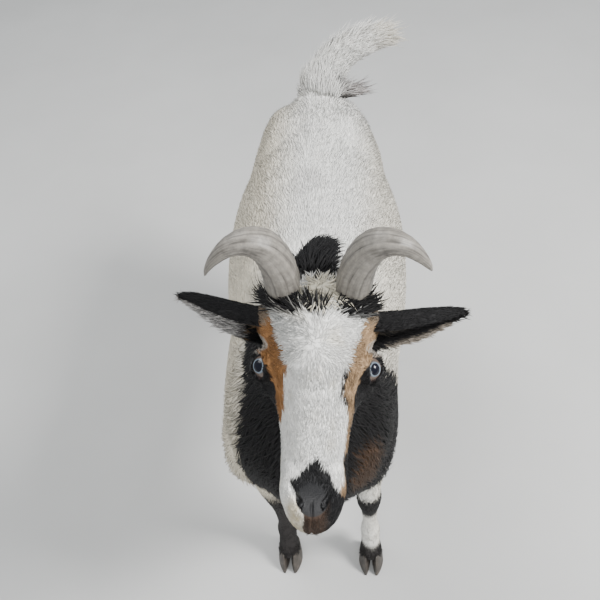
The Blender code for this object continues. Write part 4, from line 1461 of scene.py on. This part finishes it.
def make_coat(paints, rng, thickness):
    """All the coat's pieces over the skin."""
    skin = skin_sample()
    weight = skin["area"] * coat_density(skin) * thickness
    zone, (x, y, _) = skin["zone"], skin["middle"].T
    trunk, left, fore = zone == TRUNK, x >= TRUNK_SPLIT[0], y < TRUNK_SPLIT[1]
    muzzle = in_head(skin["middle"])[:, 0] >= MUZZLE_START
    parts = {
        "face": (zone == FACE) & ~muzzle,
        "muzzle": (zone == FACE) & muzzle,
        "crown": zone == CROWN,
        "ears": zone == EARS,
        "neck": zone == NECK,
        "fore_left": trunk & left & fore,
        "fore_right": trunk & ~left & fore,
        "hind_left": trunk & left & ~fore,
        "hind_right": trunk & ~left & ~fore,
        "forelegs": zone == FORELEGS,
        "hindlegs": zone == HINDLEGS,
        "tail": zone == TAIL,
    }
    material = coat_material()
    for name, chosen in parts.items():
        stations, most = LONG_LOCKS if name in LONG_HAIR else SHORT_LOCKS
        sample = draw_roots(skin, weight * chosen, rng, most)
        coat_piece(f"coat_{name}", material, sample, rng, stations, paints)


def make_beard(paints, rng, density=1.0e6, most=150):
    """Wispy pale locks hanging from the chin."""
    skin = skin_sample()
    ahead, left, out = in_head(skin["middle"]).T
    chin = (skin["zone"] == FACE) & (ahead > 0.14) & (ahead < 0.176)
    chin &= (out < -0.066) & (np.abs(left) < 0.01)
    sample = draw_roots(skin, skin["area"] * chin * density, rng, most)
    roots, normals = sample[:2]
    count = len(roots)
    low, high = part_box("beard")
    fall = unit(np.array([0.0, 0.12, -1.0]) + 0.11 * rng.standard_normal((count, 3)))
    out = unit(np.cross(fall, np.cross(normals + 0.2 * fall, fall)))
    length = rng.uniform(0.35, 1.0, count) ** 1.3 * (high.z - low.z) * 1.1
    width = rng.uniform(0.0007, 0.0012, count)
    sway = 0.14 * rng.standard_normal(count)
    lift = np.full(count, math.radians(12))
    shape = locks(roots, out, fall, length, width, lift, lift * 0.6, sway, 5)
    luck = rng.uniform(0.8, 1.1, count)
    colours = np.repeat(np.array([paints["white"]]) * luck[:, None], shape[-1], axis=0)
    mesh = hair_mesh("beard_hair", sample, shape, colours, luck, 0)
    add_piece("beard_hair", mesh, bpy.data.materials["goat_coat"], "coat", "beard")


def ring(count):
    """Angles of this many points round a ring."""
    return np.linspace(0, 2 * math.pi, count, endpoint=False)[None, :]


def grain_of(turn, along):
    """Spots of a capped grid on the map that the grain follows: round it and along it."""
    spots = np.stack(np.broadcast_arrays(turn / (2 * math.pi), along), axis=-1)
    return np.vstack([spots.reshape(-1, 2), [0, 0], [0, 1]])


CORNEA_HEIGHT, CORNEA_WIDTH = 0.09, 0.5


def make_eyes(settings, paints):
    """Each eye: a ball with a cornea, r = R (1 + h exp(-(a / w)^2)), a the angle from its gaze."""
    material = eye_material()
    angle, turn = np.linspace(0.002, math.pi - 0.002, 90)[:, None], ring(96)
    radius = EYE_RADIUS * (1 + CORNEA_HEIGHT * hump(angle, CORNEA_WIDTH))
    width = radius * np.sin(angle)
    local = np.stack(
        [width * np.cos(turn), width * np.sin(turn), radius * np.cos(angle) + 0 * turn], axis=-1
    )
    u, v, out = np.vstack([local.reshape(-1, 3), [0, 0, 1], [0, 0, -1]]).T
    away, spoke = np.arctan2(np.hypot(u, v), out) * EYE_RADIUS, np.arctan2(v, u)
    for name, side in SIDES.items():
        points, faces = capped(eye_centre(side) + local @ eye_axes(side, GAZE))
        flecks = noise(rows_of(9 * spoke, 900 * away, 0), 1.0, side)
        fibres = 0.5 * np.sin(34 * spoke + 2 * np.sin(5 * spoke)) + 0.5 * flecks
        rim = step_up(away, 0.7 * settings.iris_radius, settings.iris_radius)
        iris = np.array([paints["iris"]]) * ((1 + 0.16 * fibres) * (1 - 0.55 * rim))[:, None]
        pupil = away / (1 + 0.1 * np.cos(2 * spoke))
        pupil = within(pupil, settings.pupil_radius + 0.00012 * fibres, 0.00025)
        colours = painted(
            all_of(paints, "sclera", len(points)),
            paints,
            (within(away, settings.iris_radius, 0.0003), iris),
            (pupil, (0.004, 0.0045, 0.01)),
        )
        mesh = mesh_from(f"eye_{name}_ball", points, faces, np.clip(colours, 0, 1))
        add_piece(f"eye_{name}_ball", mesh, material, "eye", f"eye_{name}")


KEEL_TURN, KEEL_WIDTH = 2.6, 0.24  # round the horn, in radians
RING_HEIGHT = 0.016


def make_horns(settings, paints):
    """Each horn: an oval along a curve, with a keel on its inner front edge and growth rings."""
    material = horn_material(paints)
    turn = ring(48)
    for name, side in SIDES.items():
        path = smooth_rows(horn_rows(side), 12)
        run = unit(np.gradient(path[:, :3], axis=0))
        across = side * unit(np.cross(run, HEAD[0]))
        flat = side * np.cross(across, run)
        along = np.linspace(0, 1, len(path))[:, None]
        from_keel = np.angle(np.exp(1j * (turn - KEEL_TURN)))
        keel = settings.horn_keel * hump(from_keel, KEEL_WIDTH) * (1 - along)
        rings = np.sin(2 * math.pi * (15 * along + 2.5 * along**2)) * (1 - along) ** 0.6
        swell = 1 + keel + RING_HEIGHT * rings
        wide = (path[:, 4:5] * swell * np.cos(turn))[..., None] * across[:, None]
        deep = (path[:, 3:4] * swell * np.sin(turn))[..., None] * flat[:, None]
        points, faces = capped(path[:, None, :3] + wide + deep)
        pale = 0.35 * settings.tip_pale * step_up(along, 0.65, 1.0) * (side > 0)
        tone_and_furrow_shade = 0.62 + 0.38 * step_up(along, 0.0, 0.25) + pale
        # Painted shade in the furrows between the growth rings, painted light on their crests
        tone_and_furrow_shade = tone_and_furrow_shade * (1 + 3 * RING_HEIGHT * rings) + 0 * turn
        tone_and_furrow_shade = np.append(tone_and_furrow_shade.ravel(), [tone_and_furrow_shade[0].mean(), tone_and_furrow_shade[-1].mean()])
        colours = np.tile(tone_and_furrow_shade[:, None], (1, 3))
        mesh = mesh_from(f"horn_{name}_sheath", points, faces, colours, Grain=grain_of(turn, along))
        add_piece(f"horn_{name}_sheath", mesh, material, "horn", f"horn_{name}")


HOOF_BANDS, BAND_HEIGHT = 6, 0.006
HOOF_LEAN = 0.011  # how far back the top of a claw's wall lies
HOOF_SHRINK = 0.22  # how much smaller it is than the sole


def make_hooves(paints):
    """Each claw: D-shaped rings from the sole to the slanted coronet, leaning back, with bands."""
    material = hoof_material(paints)
    turn, height = ring(40), np.linspace(0, 1, 20)[:, None]
    outward = np.where(np.cos(turn) > 0, np.cos(turn) * 0.62, np.cos(turn) * 0.38) * CLAW_WIDTH
    lengthwise = np.sin(turn) * np.abs(np.sin(turn)) ** 0.15 * HOOF_LENGTH / 2
    taper = 1 - 0.35 * np.clip(-np.sin(turn), 0, 1) ** 2
    bands = np.sin(2 * math.pi * HOOF_BANDS * height) * step_up(height, 0.05, 0.2)
    edge = 1 - 0.04 * within(height, 0.02, 0.03) - 0.09 * step_up(height, 0.93, 1.0)
    shrink = (1 - HOOF_SHRINK * height) * (1 + BAND_HEIGHT * bands) * edge
    for leg, foot_x, foot_y in (("fore", FORE_X, FORE_FOOT_Y), ("hind", HIND_X, HIND_FOOT_Y)):
        for hand, side in SIDES.items():
            for place, claw in (("outer", 1), ("inner", -1)):
                middle = CLAW_APART / 2 + 0.38 * CLAW_WIDTH
                x = foot_x[side] + claw * (middle + outward * taper * shrink)
                y = foot_y - 0.006 + lengthwise * shrink + HOOF_LEAN * height
                top = coronet_height(y, CORONET_HEIGHT + 0.0015)
                points, faces = capped(np.stack([side * x, y, top * height], axis=-1))
                name = f"hoof_{leg}_{hand}_{place}"
                mesh = mesh_from(f"{name}_wall", points, faces, Grain=grain_of(turn, height))
                add_piece(f"{name}_wall", mesh, material, "hoof", name)


# Stage

LAMPS = (
    # place, aimed at, size, share of the key light's power
    ((1.77, -0.35, 2.13), (0.02, -0.1, 0.45), 0.7, 1.0),
    ((-1.0, 0.7, 2.6), (0, 0, 0.4), 1.6, 0.5),
    ((0.2, -2.4, 1.0), (0, 0, 0.4), 1.2, 0.28),
)
CAMERA_PLACE = (0.087, -0.473, 1.1286)  # in the goat's own frame
CAMERA_LOOK = (-0.110265, 0.654706, -0.747798)
CAMERA_UP = (0.015989, 0.753457, 0.657303)
CAMERA_LENS, SENSOR_WIDTH = 41.56, 36.0  # in mm
SKY_COLOUR = (0.86, 0.93, 1.0, 1)


def look_from(place, look, up):
    """The matrix of a camera or lamp at a place, looking one way with its top toward up."""
    back = -unit(look)
    right = unit(np.cross(up, back))
    matrix = np.eye(4)
    matrix[:3] = np.stack([right, np.cross(back, right), back, place], axis=1)
    return Matrix(matrix.tolist())


def link_new(name, data):
    """Links a new object into the scene."""
    made = bpy.data.objects.new(name, data)
    bpy.context.scene.collection.objects.link(made)
    return made


def make_stage(settings):
    """A pale floor, soft light from above and the sides, and a camera looking down at the face."""
    mesh = bpy.data.meshes.new("floor")
    mesh.from_pydata([(-6, -6, 0), (6, -6, 0), (6, 6, 0), (-6, 6, 0)], [], [(0, 1, 2, 3)])
    mesh.materials.append(floor_material())
    floor = link_new("floor", mesh)
    world = bpy.data.worlds.new("soft_sky")
    world.use_nodes = True
    sky = world.node_tree.nodes["Background"].inputs
    sky["Color"].default_value = SKY_COLOUR
    sky["Strength"].default_value = settings.sky_strength
    bpy.context.scene.world = world
    for i, (place, aim, size, share) in enumerate(LAMPS):
        light = bpy.data.lights.new(f"softbox_{i}", "AREA")
        light.size = size
        light.energy = settings.key_power * share
        lamp = link_new(f"softbox_{i}", light)
        lamp.matrix_world = look_from(place, np.subtract(aim, place), (0, 0, 1))
    data = bpy.data.cameras.new("camera")
    data.lens = CAMERA_LENS
    data.sensor_width = SENSOR_WIDTH
    camera = link_new("camera", data)
    camera.matrix_world = look_from(CAMERA_PLACE - MIDDLE, CAMERA_LOOK, CAMERA_UP)
    bpy.context.scene.camera = camera


# Settings, operators, panel

# Name, description, default
SHADES = (
    ("white", "Main colour of the coat", (0.86, 0.845, 0.8)),
    ("cream", "Poll and forehead", (0.74, 0.68, 0.54)),
    ("grey_white", "Faint streaks along the back", (0.46, 0.44, 0.43)),
    ("stain", "Yellowish stain low on the flanks", (0.56, 0.46, 0.27)),
    ("black", "Neck, chest, cheeks and ears", (0.0075, 0.0068, 0.007)),
    # Painted shade on the right foreleg, and the dark above the hooves
    ("dark_leg", "Right foreleg and pasterns", (0.02, 0.017, 0.016)),
    ("brown", "Patch on the left shoulder", (0.1, 0.055, 0.03)),
    ("grey", "Tuft beside the tail", (0.28, 0.24, 0.23)),
    ("grey_brown", "Hair outside the horns", (0.2, 0.165, 0.125)),
    ("tan", "Stripe over the right eye", (0.29, 0.137, 0.048)),
    ("pale_tan", "Stripe over the left eye", (0.33, 0.215, 0.118)),
    ("pale_ring", "Hair round the eyes", (0.46, 0.42, 0.37)),
    ("nose", "Skin and hair of the nose", (0.012, 0.0115, 0.012)),
    ("lip", "Stained upper lip", (0.06, 0.034, 0.02)),
    ("lid_pink", "Inner corner of the eye", (0.16, 0.1, 0.09)),
    ("ear_pale", "Pale hair of the right ear", (0.56, 0.53, 0.5)),
    ("beige", "Stripe inside the left ear", (0.36, 0.31, 0.25)),
    ("iris", "Colour of the iris", (0.24, 0.29, 0.34)),
    ("sclera", "White of the eye, stained brown", (0.12, 0.09, 0.075)),
    ("horn_light", "Horn between its streaks", (0.215, 0.196, 0.168)),
    ("horn_dark", "Horn in its streaks", (0.07, 0.062, 0.054)),
    ("hoof", "Colour of the hooves", (0.045, 0.038, 0.032)),
)


def colour_setting(name, description, default):
    label = name.replace("_", " ").capitalize()
    values = {"name": label, "description": description, "default": default}
    return FloatVectorProperty(**values, size=3, min=0, max=1, subtype="COLOR")


# Name, label, description, default, limits or unit
SIZES = (
    ("thickness", "Coat thickness", "Share of all the locks", 1.0, {"min": 0.05, "max": 1}),
    ("iris_radius", "Iris", "Radius of the iris along the eyeball", 0.0064, {"unit": "LENGTH"}),
    ("pupil_radius", "Pupil", "Radius of the pupil along the eyeball", 0.0046, {"unit": "LENGTH"}),
    ("horn_keel", "Horn keel", "Its height over the horn's radius", 0.22, {"min": 0, "max": 0.4}),
    ("tip_pale", "Pale tip", "How much paler the left horn's tip is", 0.6, {"min": 0, "max": 1}),
    ("key_power", "Key light", "Power of the main soft light", 115.0, {"unit": "POWER"}),
    ("sky_strength", "Sky", "Strength of the even light all round", 0.6, {"min": 0}),
)


def size_setting(label, description, default, more):
    return FloatProperty(name=label, description=description, default=default, **more)


class GoatSettings(bpy.types.PropertyGroup):
    """Sizes and colours of the goat's looks."""

    luck: IntProperty(name="Seed", description="Start of the coat's random numbers", default=7)
    __annotations__.update({name: size_setting(*rest) for name, *rest in SIZES})
    __annotations__.update({shade[0]: colour_setting(*shade) for shade in SHADES})


def chosen_paints():
    """The settings' colours by name."""
    settings = bpy.context.scene.goat
    return {name: tuple(getattr(settings, name)) for name, _, _ in SHADES}


class GOAT_OT_skin(bpy.types.Operator):
    """Build the skin with its ears, lids, nostrils and lips."""

    bl_idname = "goat.skin"
    bl_label = "Skin"

    def execute(self, context):
        make_skin(chosen_paints())
        return {"FINISHED"}


class GOAT_OT_coat(bpy.types.Operator):
    """Grow the coat's locks over the skin."""

    bl_idname = "goat.coat"
    bl_label = "Coat"

    def execute(self, context):
        rng = np.random.default_rng(context.scene.goat.luck)
        make_coat(chosen_paints(), rng, context.scene.goat.thickness)
        make_beard(chosen_paints(), rng)
        return {"FINISHED"}


class GOAT_OT_eyes(bpy.types.Operator):
    """Build the eyeballs."""

    bl_idname = "goat.eyes"
    bl_label = "Eyes"

    def execute(self, context):
        make_eyes(context.scene.goat, chosen_paints())
        return {"FINISHED"}


class GOAT_OT_horns(bpy.types.Operator):
    """Build the horns."""

    bl_idname = "goat.horns"
    bl_label = "Horns"

    def execute(self, context):
        make_horns(context.scene.goat, chosen_paints())
        return {"FINISHED"}


class GOAT_OT_hooves(bpy.types.Operator):
    """Build the claws of the four hooves."""

    bl_idname = "goat.hooves"
    bl_label = "Hooves"

    def execute(self, context):
        make_hooves(chosen_paints())
        return {"FINISHED"}


class GOAT_OT_stage(bpy.types.Operator):
    """Set up the floor, the soft lights and the camera."""

    bl_idname = "goat.stage"
    bl_label = "Stage"

    def execute(self, context):
        make_stage(context.scene.goat)
        return {"FINISHED"}


OPERATORS = (
    GOAT_OT_skin,
    GOAT_OT_coat,
    GOAT_OT_eyes,
    GOAT_OT_horns,
    GOAT_OT_hooves,
    GOAT_OT_stage,
)


class GOAT_PT_panel(bpy.types.Panel):
    """Buttons and settings in the sidebar."""

    bl_idname = "GOAT_PT_panel"
    bl_label = "Horned goat"
    bl_space_type = "VIEW_3D"
    bl_region_type = "UI"
    bl_category = "Goat"

    def draw(self, context):
        for operator in OPERATORS:
            self.layout.operator(operator.bl_idname)
        for name in GoatSettings.__annotations__:
            self.layout.prop(context.scene.goat, name)


CLASSES = (GoatSettings, *OPERATORS, GOAT_PT_panel)


def register():
    for item in CLASSES:
        bpy.utils.register_class(item)
    bpy.types.Scene.goat = PointerProperty(type=GoatSettings)


def unregister():
    del bpy.types.Scene.goat
    for item in reversed(CLASSES):
        bpy.utils.unregister_class(item)


def main():
    register()
    bpy.ops.goat.skin()
    bpy.ops.goat.coat()
    bpy.ops.goat.eyes()
    bpy.ops.goat.horns()
    bpy.ops.goat.hooves()
    bpy.ops.goat.stage()


if __name__ == "__main__":
    main()
